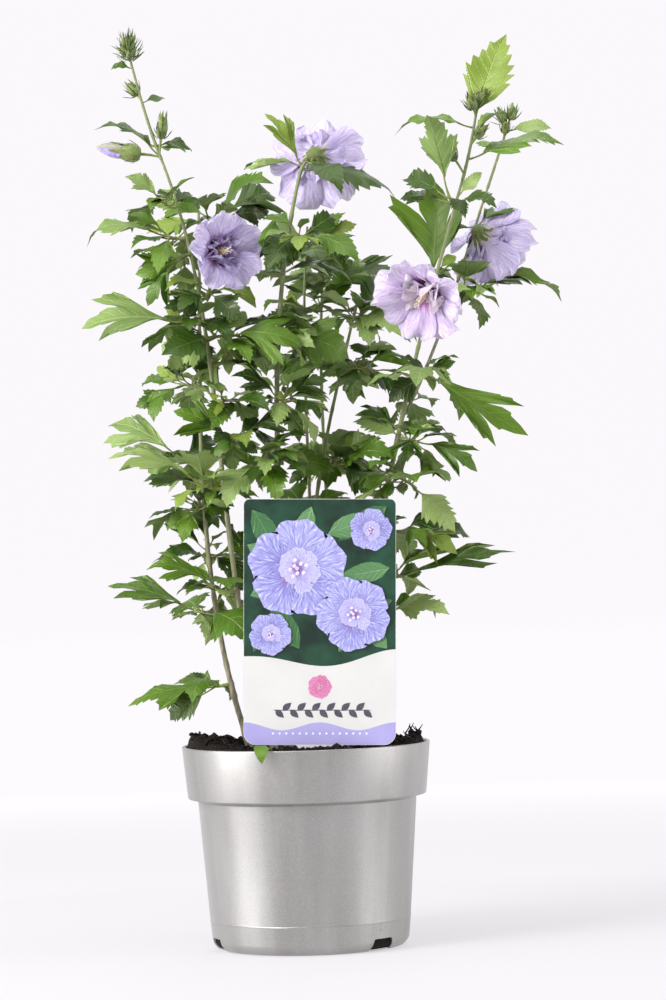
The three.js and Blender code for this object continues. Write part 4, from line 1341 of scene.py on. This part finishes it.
def compost_crumbs(count, lump):
    heap, draws = Heap(), np.random.default_rng(CRUMBS["seed"])
    for how_many, add in ((count, add_loose_crumb), (ROOTS["count"], add_root),
                          (CARD_CRUMBS["count"], add_card_crumb), (CHIPS["count"], add_chip)):
        for _ in range(how_many):
            add(heap, draws, lump)
    return heap


class SHRUB_OT_compost(bpy.types.Operator):
    """Builds the crumbly compost, its loose crumbs and bits of root"""

    bl_idname = "shrub.compost"
    bl_label = "Build compost"

    def execute(self, context):
        settings = context.scene.shrub_compost
        lump = settings.lump / MM
        earth = soil_finish("damp_compost", settings.earth, [c * 0.35 for c in settings.earth],
                            "5d4a3a")
        hand_over(compost_bed(lump, earth), "compost", "compost")
        bits = bark_finish("root_bits", "6f5a45", "3d2f25", "8f7b62")
        crumbs = compost_crumbs(settings.crumbs, lump)
        hand_over(crumbs.build("compost_crumbs", [earth, bits]), "compost")
        return {"FINISHED"}


def card_outline():
    """Corners of the card and its stake, and the rounding of each, in the card's own plane."""
    half, stake = LABEL["width"] / 2, LABEL["stake_width"] / 2
    low, top, deep = LABEL["corner"], LABEL["top_corner"], LABEL["stake_depth"]
    return [((stake, 0), 1.5), ((half, 0), low), ((half, LABEL["height"]), top),
            ((-half, LABEL["height"]), top), ((-half, 0), low), ((-stake, 0), 1.5),
            ((-stake * LABEL["taper"], -deep), 3), ((stake * LABEL["taper"], -deep), 3)]


def on_card(x, z, lift):
    """Points of the leaning card, from their place in its plane and off its middle."""
    lean = math.radians(LABEL["lean"])
    x, z, lift = np.broadcast_arrays(x, z, lift)
    return np.stack([LABEL["x"] + x * math.cos(lean) + z * math.sin(lean), LABEL["y"] - lift,
                     LABEL["foot"] - x * math.sin(lean) + z * math.cos(lean)], -1)


def plate(name, outline, low, high, finish, round_by=()):
    """A flat plate on the card between two heights off its middle plane."""
    bm = bmesh.new()
    verts = [bm.verts.new((x * MM, z * MM, low * MM)) for x, z in outline]
    bm.faces.new(verts)
    for v, radius in zip(verts, round_by):
        bmesh.ops.bevel(bm, geom=[v], offset=radius * MM, segments=6, affect="VERTICES",
                        profile=0.5, material=-1)
    grown = bmesh.ops.extrude_face_region(bm, geom=bm.faces[:])
    bmesh.ops.translate(bm, vec=(0, 0, (high - low) * MM),
                        verts=[g for g in grown["geom"] if isinstance(g, bmesh.types.BMVert)])
    bmesh.ops.recalc_face_normals(bm, faces=bm.faces[:])
    for v in bm.verts:
        v.co = on_card(v.co.x / MM, v.co.y / MM, v.co.z / MM) * MM
    bmesh.ops.recalc_face_normals(bm, faces=bm.faces[:])
    return mesh_of(bm, name, finish)


def joined(name, meshes):
    """The meshes as one, each with its own finish."""
    bm = bmesh.new()
    finishes = []
    for mesh in meshes:
        start = len(bm.faces)
        bm.from_mesh(mesh)
        bm.faces.ensure_lookup_table()
        for face in bm.faces[start:]:
            face.material_index += len(finishes)
        finishes += list(mesh.materials)
        bpy.data.meshes.remove(mesh)
    return mesh_of(bm, name, *finishes)


def card_plates(settings, face, rise):
    """The card with its stake, and the grounds of the picture and the strip on it."""
    corners = card_outline()
    edge, corner, inset = PRINT_EDGE, LABEL["corner"], PRINT_EDGE["inset"]
    half, top = LABEL["width"] / 2 - inset, LABEL["height"] - inset
    sweep = np.linspace(half, -half, edge["steps"])
    level, lean = edge["lean"]
    waist = [(x, edge["waist"] - edge["dip"] * math.cos(math.pi * x / half)
              * (level + lean * x / half)) for x in sweep]
    curve = [(half - corner * (1 - math.sin(a)), inset + corner * (1 - math.cos(a)))
             for a in np.linspace(0, math.pi / 2, 10)]
    crest = [(x, edge["strip"] + edge["crest"] * math.cos(2 * math.pi * x / half))
             for x in sweep]
    band = [(-x, z) for x, z in reversed(curve)] + curve + crest
    return [
        plate("card", [spot for spot, _ in corners], -face, face,
              print_finish("coated_card", settings.card, "d0d0cd", 30),
              [radius for _, radius in corners]),
        plate("picture", [(-half, top), (half, top)] + waist, face, face + rise,
              print_finish("print_ground", settings.ground, "10281f", 45), (4.2, 4.2)),
        plate("band", band, face, face + rise,
              print_finish("print_strip", settings.strip, "a29cd2", 40))]


def printed_shapes(face, rise):
    """Everything printed on the grounds, each shape a little further off the card."""
    heap, level, small = Heap(), face + rise, PRINT_SMALL
    for i, (x, z, turn, length, ink) in enumerate(PRINT_LEAVES):
        add_printed_leaf(heap, x, z, turn, length, level + 0.4 * i * rise, rise, ink)
    level += rise * 6
    for x, z, radius, turn in PRINT_FLOWERS:
        add_printed_flower(heap, x, z, radius, turn, level, rise)
        level += rise * 11
    add_printed_flower(heap, *small["flower"], face, rise, PINK, PINK)
    for i in range(small["leaves"]):
        x, z = small["leaf_from"] + small["leaf_step"] * i, small["leaf_row"]
        add_printed_leaf(heap, x, z, 42 if i % 2 else -42, 8.5, face, rise, GREY, 1.5)
        add_printed_leaf(heap, x - 2, z, 0, 8, face, rise, GREY, 0.3)
    for i in range(small["dots"]):
        spot = on_card(small["dot_from"] + small["dot_step"] * i, small["dot_row"], face + rise)
        heap.add_ball(spot, (small["dot"], rise, small["dot"]), WHITE)
    return heap


def add_printed_leaf(heap, x, z, turn, length, level, rise, ink, slim=1.0):
    """A printed leaf, kept inside the card."""
    shape = sheet_template(6, 2)
    across, share, side = shape.points.T
    turn = math.radians(turn)
    out = 0.19 * slim * length * across * np.sin(math.pi * (0.03 + 0.97 * share ** 0.8))
    ahead = length * share
    limit = LABEL["width"] / 2 - 0.8
    flat_x = np.clip(x + ahead * math.cos(turn) - out * math.sin(turn), -limit, limit)
    flat_z = np.clip(z + ahead * math.sin(turn) + out * math.cos(turn), 2,
                     LABEL["height"] - 0.8)
    lift = level + rise * (0.5 + 0.5 * side)
    heap.add(shape, on_card(flat_x, flat_z, lift), np.stack([share, across * 0.2], 1),
             (ink, ink))


def add_printed_flower(heap, x, z, radius, turn, level, rise, outer_ink=PETAL, inner_ink=INNER):
    """A printed blossom: five ruffled petals, smaller ones inside, and a pale heart."""
    shape = sheet_template(12, 10)
    across, share, side = shape.points.T
    for k in range(12):
        inner = k >= 5
        reach = radius * (0.52 - 0.03 * (k - 5) if inner else 1)
        middle = math.radians(turn + (51.4 * k + 20 if inner else 72 * k))
        edge = 1 - 0.13 * across ** 2 + 0.035 * np.cos(8 * across + 2 * k)
        spin = middle + across * (0.52 if inner else 0.7) * share ** 0.1
        r = reach * share * edge
        lift = level + rise * (k * 0.7 + 0.5 + 0.5 * side)
        points = on_card(x + r * np.cos(spin), z + r * np.sin(spin), lift)
        heap.add(shape, points, np.stack([share, across * 0.5], 1),
                 (inner_ink if inner else outer_ink,) * 2, chance(radius, k, 3))
    dot = radius * 0.045
    for k in range(9):
        out, up = polar(radius * 0.07 * math.sqrt(k), GOLDEN_TURN * k)
        heap.add_ball(on_card(x + out, z + up, level + rise * 9), (dot, rise, dot), HEART)


class SHRUB_OT_label(bpy.types.Operator):
    """Builds the plant label: a printed card on a stake"""

    bl_idname = "shrub.label"
    bl_label = "Build label"

    def execute(self, context):
        settings = context.scene.shrub_label
        face, rise = LABEL["thickness"] / 2, settings.raised / MM
        card = joined("plant_label_card", card_plates(settings, face, rise))
        hand_over(show("plant_label_card", card), "label", "plant_label")
        inks = [
            petal_finish("print_petal", "a9a9df", "6866b8", "433d96", "a02a72", 0.42, 0.9, 0.55, 0),
            petal_finish("print_inner_petal", "c2bfe6", "968ed2", "6a5ab4", "7a3a9c", 0.4, 0.7,
                         0.6, 0),
            leaf_finish("print_leaf", "3d7446", "1f4529", "6f9a6c", 0.5),
            leaf_finish("print_pale_leaf", "639060", "356a40", "9dbb90", 0.5),
            print_finish("print_heart", "f0e8ee", "cdb7dc", 500),
            petal_finish("print_pink_petal", "d57fae", "c44d86", "a32c68", "8c1f55", 0.3, 0.8,
                         0.5, 0),
            print_finish("print_grey", "55505c", "45404c", 300),
            print_finish("print_white", "f2f2f8", "e6e6f2", 300)]
        printed = printed_shapes(face, rise)
        hand_over(printed.build("plant_label_print", inks, 40), "label", "plant_label")
        return {"FINISHED"}


def bark_noise(angle, height, fine_round, fine_along, shift):
    """Noise over the bark of a stem, as fine as asked round it and along it."""
    return np.array([rough.noise(Vector((*polar(fine_round, a), h * fine_along + shift)))
                     for a, h in zip(angle, height)])


def add_stem(heap, stem, number, settings):
    length = np.linalg.norm(stem.handles[-1] - stem.handles[0])
    nodes = stem.leaves_at + [
        (i + 0.5 + 0.5 * chance(number, i, 31)) * STEM["node_step"] / length
        for i in range(int(length / STEM["node_step"]))]

    def radius(share):
        swell = sum(math.exp(-(((share - at) * length / STEM["node_reach"]) ** 2))
                    for at in nodes)
        swelling = 1 + settings.node_swell * min(swell, 1.2)
        return settings.slender * stem.radius(share) * swelling

    def relief(angle, share):
        ridges = bark_noise(angle, share * length, 1.6, 0.06, number * 9)
        lumps = bark_noise(angle, share * length, 0.8, 0.35, number * 5)
        return settings.relief * (ridges + 0.7 * lumps)

    add_tube(heap, curve_row(stem.handles, int(length / STEM["step"])), radius, STEM["sides"],
             relief=relief, tint=lambda share: share)


class SHRUB_OT_stems(bpy.types.Operator):
    """Builds the woody stems with their bark, nodes and flared feet"""

    bl_idname = "shrub.stems"
    bl_label = "Build stems"

    def execute(self, context):
        settings = context.scene.shrub_wood
        bark = bark_finish("grey_bark", settings.bark, "5d5545", "808c5b")
        for number, stem in enumerate(plant()[0].values()):
            heap = Heap()
            add_stem(heap, stem, number, settings)
            hand_over(heap.build(f"bark_{stem.name}", [bark], 70), "bark", f"stem_{stem.name}")
        return {"FINISHED"}


def leaf_points(blade, thickness, pick):
    """A leaf's shape, corners and flat map: its outline, bent, folded along the midrib and
    waved at the edge."""
    form = np.array(LEAF_FORMS[blade.form])
    rows = len(form) - 1
    shape = sheet_template(rows, 4 if blade.length > 48 and rows > 10 else 2)
    row = np.rint(shape.points[:, 1] * rows).astype(int)
    across = shape.points[:, 0]
    share = np.abs(across)
    middle, edge, half = form[row].T
    flat_along = middle + (edge - middle) * share ** 1.15
    flat_across = half * across * (1 + 0.2 * (pick(11) - 0.5) * np.sign(across))
    out = np.abs(flat_across)
    fold = (0.05 + 0.5 * pick(12)) * out - (0.4 + 1.1 * pick(17)) * out ** 2
    wave = 0.045 * share ** 2 * np.sin(flat_along * (9 + 6 * pick(13)) + 6 * pick(14)
                                       + 2.2 * np.sign(across)) * np.minimum(1, half * 6)
    hang = 0.3 * np.maximum(0, flat_along - 0.5) ** 2 * (0.4 + 2 * pick(15))
    thick = np.sign(shape.points[:, 2]) * thickness / 2
    curl = (pick(16) - 0.5) * 0.13 * flat_along ** 3
    points = blade.at(flat_along * blade.length,
                      (flat_across * blade.width + curl) * blade.length,
                      (fold + wave - hang) * blade.length + thick)
    return shape, points, np.stack([flat_along, flat_across], 1)


def by_group(sprays):
    """The sides of the shrub, each with the sprays on its stems."""
    for side, stems in GROUPS.items():
        yield side, [spray for spray in sprays if spray.stem.name in stems]


def leaf_tone(blade, pick):
    """High leaves and small ones are more often fresh green; the others are pale, grown or old by
    chance.
    """
    if blade.tone is not None:
        return blade.tone
    height = blade.root[2] + 60 * (pick(22) - 0.5)
    fresh = 0.05 + 0.15 * (height > 560) + 0.05 * (blade.length < 30)
    value = pick(23)
    # The pale tone, which is painted sheen, goes to a share of the leaves by chance.
    return (FRESH if value < fresh else PAINTED_SHEEN if value < fresh + 0.2 else
            GROWN if value < 0.66 else OLD)


class SHRUB_OT_leaves(bpy.types.Operator):
    """Builds the toothed, lobed leaves of every shoot, joined by side of the shrub"""

    bl_idname = "shrub.leaves"
    bl_label = "Build leaves"

    def execute(self, context):
        settings = context.scene.shrub_leaves
        finishes = [leaf_finish("leaf_fresh", settings.fresh, "7a942f", "c0cd80", 0.46),
                    leaf_finish("leaf_grown", settings.middle, "3f6216", "95ad5c", 0.44),
                    leaf_finish("leaf_old", settings.deep, "22390c", "6b883f", 0.4),
                    # The pale finish is painted sheen.
                    leaf_finish("leaf_painted_sheen", settings.pale, "6f8a45", "c3cf9c", 0.5),
                    leaf_finish("leaf_below", settings.below, "6f8a46", "b6c48c", 0.62, True)]
        below = len(finishes) - 1
        for side, sprays in by_group(plant()[1]):
            heap = Heap()
            for spray in sprays:
                for number, blade in enumerate(spray.blades):
                    pick = picks(spray.number + 0.5, number)
                    heap.add(*leaf_points(blade, settings.thickness / MM, pick),
                             (leaf_tone(blade, pick), below), pick(21))
            piece = heap.build(f"leaves_{side}", finishes, 75)
            hand_over(piece, "leaf", *(spray.name for spray in sprays))
        return {"FINISHED"}


def add_shoot(heap, spray):
    """The knotted shoot: green where it is leafy, barked where it flowers."""
    woody = not spray.name.startswith("foliage")
    first, last = spray.radii
    path = curve_row(spray.handles, 18 if woody else 10)
    path[0] = path[0] - unit(path[1] - path[0]) * GAP * 1.5

    def radius(share):
        knots = 0.18 * math.cos(share * 22 + spray.number) ** 6
        return (first + (last - first) * share) * (1 + knots)

    add_tube(heap, path, radius, 8, 1 if woody else 0, 0.95 if woody else 0.4)


def add_stalk(heap, blade, red):
    """A leaf's stalk, and the midrib that carries it on below the blade."""
    along, _, above = blade.axes()
    reach = blade.petiole + 0.05 * blade.length
    inside = blade.root - along * 0.4
    bow = blade.root + along * reach * 0.45 - above * reach * 0.12
    end = blade.at(np.array([0.05 * blade.length]), np.zeros(1), np.array([-0.25]))[0]
    thick = 0.5 + 0.006 * blade.length
    add_tube(heap, curve_row((inside, bow, end), 5),
             lambda s: thick * (1.25 - 0.55 * min(1, 3 * s) + 0.15 * s), 6, 0, 0.35 + 0.6 * red)
    ridge = np.linspace(0.05, 0.72, 8) * blade.length
    droop = -0.16 * np.maximum(0, ridge / blade.length - 0.55) ** 2 * blade.length
    add_tube(heap, blade.at(ridge, np.zeros(8), droop - 0.3),
             lambda s: thick * 0.55 * (1 - 0.8 * s), 5, 0, 0.3)


class SHRUB_OT_twigs(bpy.types.Operator):
    """Builds the side shoots, leaf stalks and flower stalks, joined by side of the shrub"""

    bl_idname = "shrub.twigs"
    bl_label = "Build twigs"

    def execute(self, context):
        finishes = [shoot_finish(), bpy.data.materials["grey_bark"]]
        for side, sprays in by_group(plant()[1]):
            heap = Heap()
            for spray in sprays:
                add_shoot(heap, spray)
                for number, blade in enumerate(spray.blades):
                    add_stalk(heap, blade, chance(spray.number, number, 24))
                for root, heading, pitch, pedicel, _, wide in spray.buds:
                    tip = root + direction(heading, pitch) * (pedicel + 1)
                    bow = (root + tip) / 2 + UP * pedicel * 0.08
                    add_tube(heap, curve_row((root, bow, tip), 5),
                             lambda s: 0.75 + 0.5 * s * wide / 8, 7, 0, 0.45)
            hand_over(heap.build(f"twigs_{side}", finishes, 70), "bark")
        return {"FINISHED"}


def petal_points(blade, pick, ruffle, thickness=0.35, rows=16, columns=12, crimp=1.0):
    """A petal's shape, corners and flat map: ruffled, narrow at its foot, broad and ragged at
    its end."""
    shape = sheet_template(rows, columns)
    across, share, side = shape.points.T
    half = 0.05 + 0.4 * np.sin(np.minimum(1, share / 0.76) * math.pi / 2) ** 1.3
    half = half * (1 - 0.3 * (np.maximum(0, share - 0.76) / 0.24) ** 2)
    ragged = (0.04 * np.sin(across * 6 + 6 * pick(1)) + 0.022 * np.sin(across * 14 + 9 * pick(2))
              + 0.012 * np.sin(across * 30 + 5 * pick(3)))
    along = share * (1 - 0.16 * across ** 2 * share ** 2) + ragged * share ** 4
    pleats = (np.sin(across * (3.6 + 2 * pick(4)) + 6.3 * pick(5))
              + 0.5 * np.sin(across * 9 + share * 2 + 6.3 * pick(6))
              + 0.25 * crimp * np.sin(across * 19 + share * 5 + 6.3 * pick(7)))
    lift = (ruffle * pleats * share ** 1.5 + (pick(15) - 0.35) * 0.34 * across ** 2 * share
            - 0.12 * (1 - np.abs(across)) * share * (1 - share)
            + (pick(16) - 0.5) * 0.3 * np.maximum(0, share - 0.65))
    points = blade.at(along * blade.length, half * across * blade.width * blade.length * 1.14,
                      lift * blade.length + np.sign(side) * thickness / 2)
    return shape, points, np.stack([share, across * 0.5], 1)


def turned(heap, root, axis, profile, sides, finish, tint=0.5, ridges=0, depth=0.0, twist=0.0):
    """A turned body along an axis: rows of radius and distance, with ridges round it."""
    radii = [max(r, 0.02) for r, _ in profile]
    steps = len(profile) - 1

    def relief(angle, share):
        return depth * np.cos(angle * ridges + twist * share)

    add_tube(heap, [root + axis * d for _, d in profile], lambda s: radii[round(s * steps)], sides,
             finish, tint, relief if ridges else None)


# Finishes of the blooms, by their place in the list of SHRUB_OT_blooms.
OUTER, VIOLET, ROSY, BACK, COLUMN, ANTHER, ROSY_HEART = range(7)


def add_petals(heap, number, root, heading, pitch, radius, ruffle, rosy):
    for k, blade in enumerate(petal_blades(root, heading, pitch, radius)[:BLOOM["petals"]]):
        pick = picks(number + 0.25, k)
        blade.length *= 0.96 + 0.08 * pick(8)
        blade.droop += 30 * (pick(9) - 0.6)
        blade.roll += 22 * (pick(11) - 0.4)
        heap.add(*petal_points(blade, pick, ruffle), (ROSY if rosy else OUTER, BACK), pick(10))


def add_inner_petals(heap, number, root, axis, radius, ruffle, rosy):
    """Small crumpled petals, longer and more open from the middle outwards."""
    full = 1.22 if rosy else 1
    for k in range(FLOWER["inners"]):
        pick = picks(number + 0.75, k)
        ring = k / FLOWER["inners"]
        out = round_about(axis, math.radians(k * FLOWER["inner_turn"] + 40 * pick(8)))
        blade = petal_blade(root + out * (1.0 + 1.8 * ring) + axis * 2.0, axis, out,
                            full * (8 + 30 * ring) + 16 * (pick(9) - 0.5),
                            full * radius * (0.36 + 0.24 * ring + 0.12 * pick(10)),
                            0.6 + 0.35 * pick(11), "inner", 25 + 60 * pick(12),
                            50 * (pick(13) - 0.5))
        finish = ((ROSY_HEART, ROSY_HEART if k % 3 else ROSY) if rosy else
                  (VIOLET if k % 2 else OUTER, BACK))
        heap.add(*petal_points(blade, pick, ruffle * 2.1, 0.3, 10, 8, 2.0), finish, pick(14))


def add_column(heap, number, root, axis, length):
    """The staminal column with its anthers, and the five stigmas at its end."""
    turned(heap, root, axis, [(2.4, 0), (2.2, 3), (1.7, length * 0.4), (1.3, length * 0.7),
                              (0.9, length * 0.93), (0.3, length)], 10, COLUMN)
    count = FLOWER["stamens"]
    for k in range(count):
        height = length * (0.34 + 0.58 * k / count)
        out = round_about(axis, k * GOLDEN_TURN)
        reach = 2.7 + 0.9 * chance(number, k, 17) - 1.2 * k / count
        spot = root + axis * height + out * reach
        add_tube(heap, [root + axis * (height - 0.8) + out, spot], lambda s: 0.18, 4, COLUMN)
        heap.add_ball(spot, 0.62 + 0.2 * chance(number, k, 18), ANTHER)
    for k in range(FLOWER["stigmas"]):
        out = round_about(axis, k * 2 * math.pi / FLOWER["stigmas"])
        tip = root + axis * (length + 3.4) + out * 1.9
        bow = root + axis * (length + 1.5) + out * 0.8
        add_tube(heap, [root + axis * (length * 0.95), bow, tip], lambda s: 0.28, 5, COLUMN)
        heap.add_ball(tip, 0.75, COLUMN)


class SHRUB_OT_blooms(bpy.types.Operator):
    """Builds the four open blooms: petals, inner petals, column and calyx"""

    bl_idname = "shrub.blooms"
    bl_label = "Build blooms"

    def execute(self, context):
        settings = context.scene.shrub_blooms
        petal, vein, eye = settings.petal, settings.vein, settings.eye
        finishes = [
            petal_finish("petal_outer", "c6b9e0", petal, vein, eye, 0.5, 0.95, 0.55),
            petal_finish("petal_violet", "b9a2d4", "a588c6", "84509f", eye, 0.6, 0.9, 0.6),
            petal_finish("petal_rosy", "d4c3e8", "c8afde", "a37dc0", "ab3c90", 0.46, 0.9, 0.6, 0.6),
            petal_finish("petal_back", "d1c3ee", "c3b1e6", "9f8cc8", "d3d0a4", 0.26, 0.85, 0.7),
            cream_finish("staminal_column", "f1e6d4", "dcc9ae"),
            cream_finish("anthers", "e9dcc0", "c4aa84"),
            petal_finish("petal_heart", "f3e6f2", "ead4ea", "c98fca", "a63a8c", 0.3, 0.8, 0.5, 0.8)]
        sepal = calyx_finish("calyx_green", "7b8b45", "4f6029", "5e5230")
        heap, green, nodes = Heap(), Heap(), []
        for spray in plant()[1]:
            for root, heading, pitch, radius in spray.blooms:
                nodes.append(spray.name)
                heading += BLOOM_TURNS.get(spray.name, 0)
                rosy = spray.name == "bloom_centre"
                axis = direction(heading, pitch)
                add_petals(heap, spray.number, root, heading, pitch, radius, settings.ruffle, rosy)
                add_inner_petals(heap, spray.number, root, axis, radius, settings.ruffle, rosy)
                add_column(heap, spray.number, root, axis, radius * BLOOM["column"] * 1.1)
                calyx(green, root, axis, BLOOM["cup"] * 0.9, spray.number)
        hand_over(heap.build("blooms", finishes, 75), "bloom", *nodes)
        hand_over(green.build("bloom_calyxes", [sepal], 70), "bud")
        return {"FINISHED"}


def scale_at(seat, axis, out, open_angle, length, width, droop):
    """A narrow sepal or bract that leans away from an axis."""
    return petal_blade(seat, axis, out, open_angle, length, width, "scale", droop, 0)


def ring_turn(k, scales, bracts, shift):
    """The turn about a bud or bloom of each of its scales, then of each of its bracts."""
    return 2 * math.pi * (k / scales if k < scales else (k + shift) / bracts)


def calyx(heap, root, axis, radius, number):
    """A ribbed cup of five pointed sepals, with narrow bracts spread out below it."""
    back = root - axis * radius * 0.5
    scales, bracts = FLOWER["scales"], FLOWER["bracts"]
    turned(heap, back, axis, [(radius * r, radius * d) for r, d in CALYX_BODY], 15, 0, 0.5, 5,
           0.05)
    for k in range(scales + bracts):
        pick = picks(number + 0.1, k)
        out = round_about(axis, ring_turn(k, scales, bracts, 0.4))
        if k < scales:
            blade = scale_at(back + out * radius * 0.72 + axis * radius * 0.45, axis, out, 24,
                             radius * (1.35 + 0.3 * pick(1)), 3.3, 20 + 20 * pick(2))
        else:
            blade = scale_at(back + out * radius * 0.4, axis, out, 48 + 24 * pick(2),
                             radius * (1.7 + 0.8 * pick(1)), 0.75, -25 - 40 * pick(4))
        heap.add(*leaf_points(blade, 0.45, pick), (0, 0), pick(3))


# Finishes of the buds, by their place in the list of SHRUB_OT_buds.
BUD, BRACT, FURLED = range(3)


def add_bud(heap, seat, axis, length, radius, number):
    opening = length > OPENING_BUD
    body = length * (0.6 if opening else 0.84)
    wide = radius * (0.9 if opening else 0.76)
    turned(heap, seat, axis, [(wide * r, body * d) for r, d in BUD_BODY], 15, BUD,
           chance(number, 1, 3), 5, 0.07)
    if opening:
        turned(heap, seat + axis * length * 0.3, axis,
               [(radius * r, length * d) for r, d in BUD_PETALS], 30, FURLED, 0.5, 5, 0.09, 3.0)
    scales, bracts = FLOWER["scales"], 12 if radius > 5 else 10
    for k in range(scales + bracts):
        pick = picks(number + 0.6, k)
        out = round_about(axis, ring_turn(k, scales, bracts, 0.3))
        if k < scales:
            finish = BUD
            blade = scale_at(seat + out * wide * 0.66 + axis * body * 0.08, axis, out, 16,
                             body * 1.04, wide * 4.3 / body, -44)
        else:
            finish = BRACT
            blade = scale_at(seat + out * wide * 0.35 - axis * 0.5, axis, out,
                             24 + 44 * pick(1), 8 + 6 * pick(2), 0.5, -30 - 40 * pick(3))
        heap.add(*leaf_points(blade, 0.4, pick), (finish, finish), pick(5))


def add_tuft(heap, root, axis, length, number):
    """A crowded stem tip: small buds among many narrow bracts."""
    for j in range(TIP["buds"]):
        out = round_about(axis, j * GOLDEN_TURN)
        turned(heap, root + axis * (j * 2.0 - 3) + out * 1.8, unit(axis + out * 0.8), TIP_BUD,
               10, BUD, 0.6, 5, 0.08)
    count = TIP["bracts"]
    for k in range(count):
        pick = picks(number + 0.4, k)
        out = round_about(axis, k * GOLDEN_TURN)
        blade = scale_at(root + axis * (-5 + 13 * k / count) + out * 1.6, axis, out,
                         80 - 56 * k / count + 26 * (pick(1) - 0.5),
                         length * (0.38 + 0.26 * pick(2)), 0.85, -20 - 45 * pick(3))
        finish = BUD if k % 3 else BRACT
        heap.add(*leaf_points(blade, 0.4, pick), (finish, finish), pick(5))


class SHRUB_OT_buds(bpy.types.Operator):
    """Builds the buds with their sepals and bracts, and the leafy tip of the tallest stem"""

    bl_idname = "shrub.buds"
    bl_label = "Build buds"

    def execute(self, context):
        finishes = [calyx_finish("bud_green", "8c9c52", "5c7234", "6c6f38"),
                    calyx_finish("bract_green", "58702f", "334a1c", "55502c"),
                    petal_finish("petal_furled", "b3a5d6", "9c8cc8", "6d58a4", "a9ad78", 0.3, 0.8)]
        heap = Heap()
        sprays = [spray for spray in plant()[1] if spray.buds or spray.tufts]
        for spray in sprays:
            for k, (root, heading, pitch, pedicel, length, radius) in enumerate(spray.buds):
                axis = direction(heading, pitch)
                add_bud(heap, root + axis * pedicel, axis, length, radius, spray.number * 10 + k)
            for root, heading, pitch, length in spray.tufts:
                add_tuft(heap, root, direction(heading, pitch), length, spray.number)
        hand_over(heap.build("buds", finishes, 70), "bud", *(spray.name for spray in sprays))
        return {"FINISHED"}


class SHRUB_OT_hanging_leaf(bpy.types.Operator):
    """Builds the leaf that hangs over the front of the pot's rim"""

    bl_idname = "shrub.hanging_leaf"
    bl_label = "Build hanging leaf"

    def execute(self, context):
        heap = Heap()
        blade = Blade(**dict(HANGING_LEAF, root=np.array(HANGING_LEAF["root"])))
        heap.add(*leaf_points(blade, 0.4, picks(90, 1)), (0, 1), 0.6)
        finishes = [bpy.data.materials["leaf_grown"], bpy.data.materials["leaf_below"]]
        hand_over(heap.build("hanging_leaf", finishes, 75), "leaf")
        return {"FINISHED"}


class SHRUB_OT_studio(bpy.types.Operator):
    """Sets up the pale floor, the soft lights and the camera"""

    bl_idname = "shrub.studio"
    bl_label = "Set up studio"

    def execute(self, context):
        scene, settings = context.scene, context.scene.shrub_studio
        far, bend = settings.reach / MM, BACKDROP["bend"]
        curve = [(far - bend * (1 - math.sin(a)), bend * (1 - math.cos(a)))
                 for a in np.linspace(0, math.pi / 2, 12)]
        bm = turned_shape([(0, 0)] + curve + [(far, BACKDROP["height"])], BACKDROP["segments"])
        bmesh.ops.reverse_faces(bm, faces=bm.faces[:])
        mesh = mesh_of(bm, "studio_floor", studio_finish(settings.floor, settings.reach))
        mesh.shade_smooth()
        show("studio_floor", mesh)

        scene.world = scene.world or bpy.data.worlds.new("studio")
        scene.world.use_nodes = True
        for socket, value in SKY.items():
            scene.world.node_tree.nodes["Background"].inputs[socket].default_value = value
        for name, (spot, aim, size, power) in LAMPS.items():
            light = bpy.data.lights.new(name, "AREA")
            light.shape, light.size, light.energy = "DISK", size, power
            lamp = bpy.data.objects.new(name, light)
            lamp.location = spot
            lamp.rotation_euler = (Vector(aim) - Vector(spot)).to_track_quat("-Z", "Y").to_euler()
            scene.collection.objects.link(lamp)
        camera = bpy.data.objects.new("camera", bpy.data.cameras.new("camera"))
        camera.data.lens, camera.data.sensor_width = CAMERA["lens"], CAMERA["sensor"]
        camera.location = (CAMERA["side"], -settings.distance, CAMERA["height"])
        camera.rotation_euler = (math.radians(90), settings.roll, 0)
        scene.collection.objects.link(camera)
        scene.camera = camera
        scene.view_settings.view_transform = "Standard"
        return {"FINISHED"}


OPERATORS = (SHRUB_OT_pot, SHRUB_OT_compost, SHRUB_OT_label, SHRUB_OT_stems, SHRUB_OT_leaves,
             SHRUB_OT_twigs, SHRUB_OT_blooms, SHRUB_OT_buds, SHRUB_OT_hanging_leaf,
             SHRUB_OT_studio)
SETTINGS = {"pot": SHRUB_PG_pot, "compost": SHRUB_PG_compost, "label": SHRUB_PG_label,
            "wood": SHRUB_PG_wood, "leaves": SHRUB_PG_leaves, "blooms": SHRUB_PG_blooms,
            "studio": SHRUB_PG_studio}


class SHRUB_PT_panel(bpy.types.Panel):
    """Lists the pieces of the shrub and their settings"""

    bl_idname = "SHRUB_PT_panel"
    bl_label = "Potted rose of sharon"
    bl_space_type = "VIEW_3D"
    bl_region_type = "UI"
    bl_category = "Shrub"

    def draw(self, context):
        for name, group in SETTINGS.items():
            box = self.layout.box()
            box.label(text=name.capitalize())
            for key in group.__annotations__:
                box.prop(getattr(context.scene, "shrub_" + name), key)
        for operator in OPERATORS:
            self.layout.operator(operator.bl_idname)


def register():
    for cls in (*SETTINGS.values(), *OPERATORS, SHRUB_PT_panel):
        bpy.utils.register_class(cls)
    for name, group in SETTINGS.items():
        setattr(bpy.types.Scene, "shrub_" + name, bpy.props.PointerProperty(type=group))


def unregister():
    for name in SETTINGS:
        delattr(bpy.types.Scene, "shrub_" + name)
    for cls in reversed((*SETTINGS.values(), *OPERATORS, SHRUB_PT_panel)):
        bpy.utils.unregister_class(cls)


def main():
    register()
    for operator in OPERATORS:
        getattr(bpy.ops.shrub, operator.bl_idname.split(".")[1])()
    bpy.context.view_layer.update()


if __name__ == "__main__":
    main()
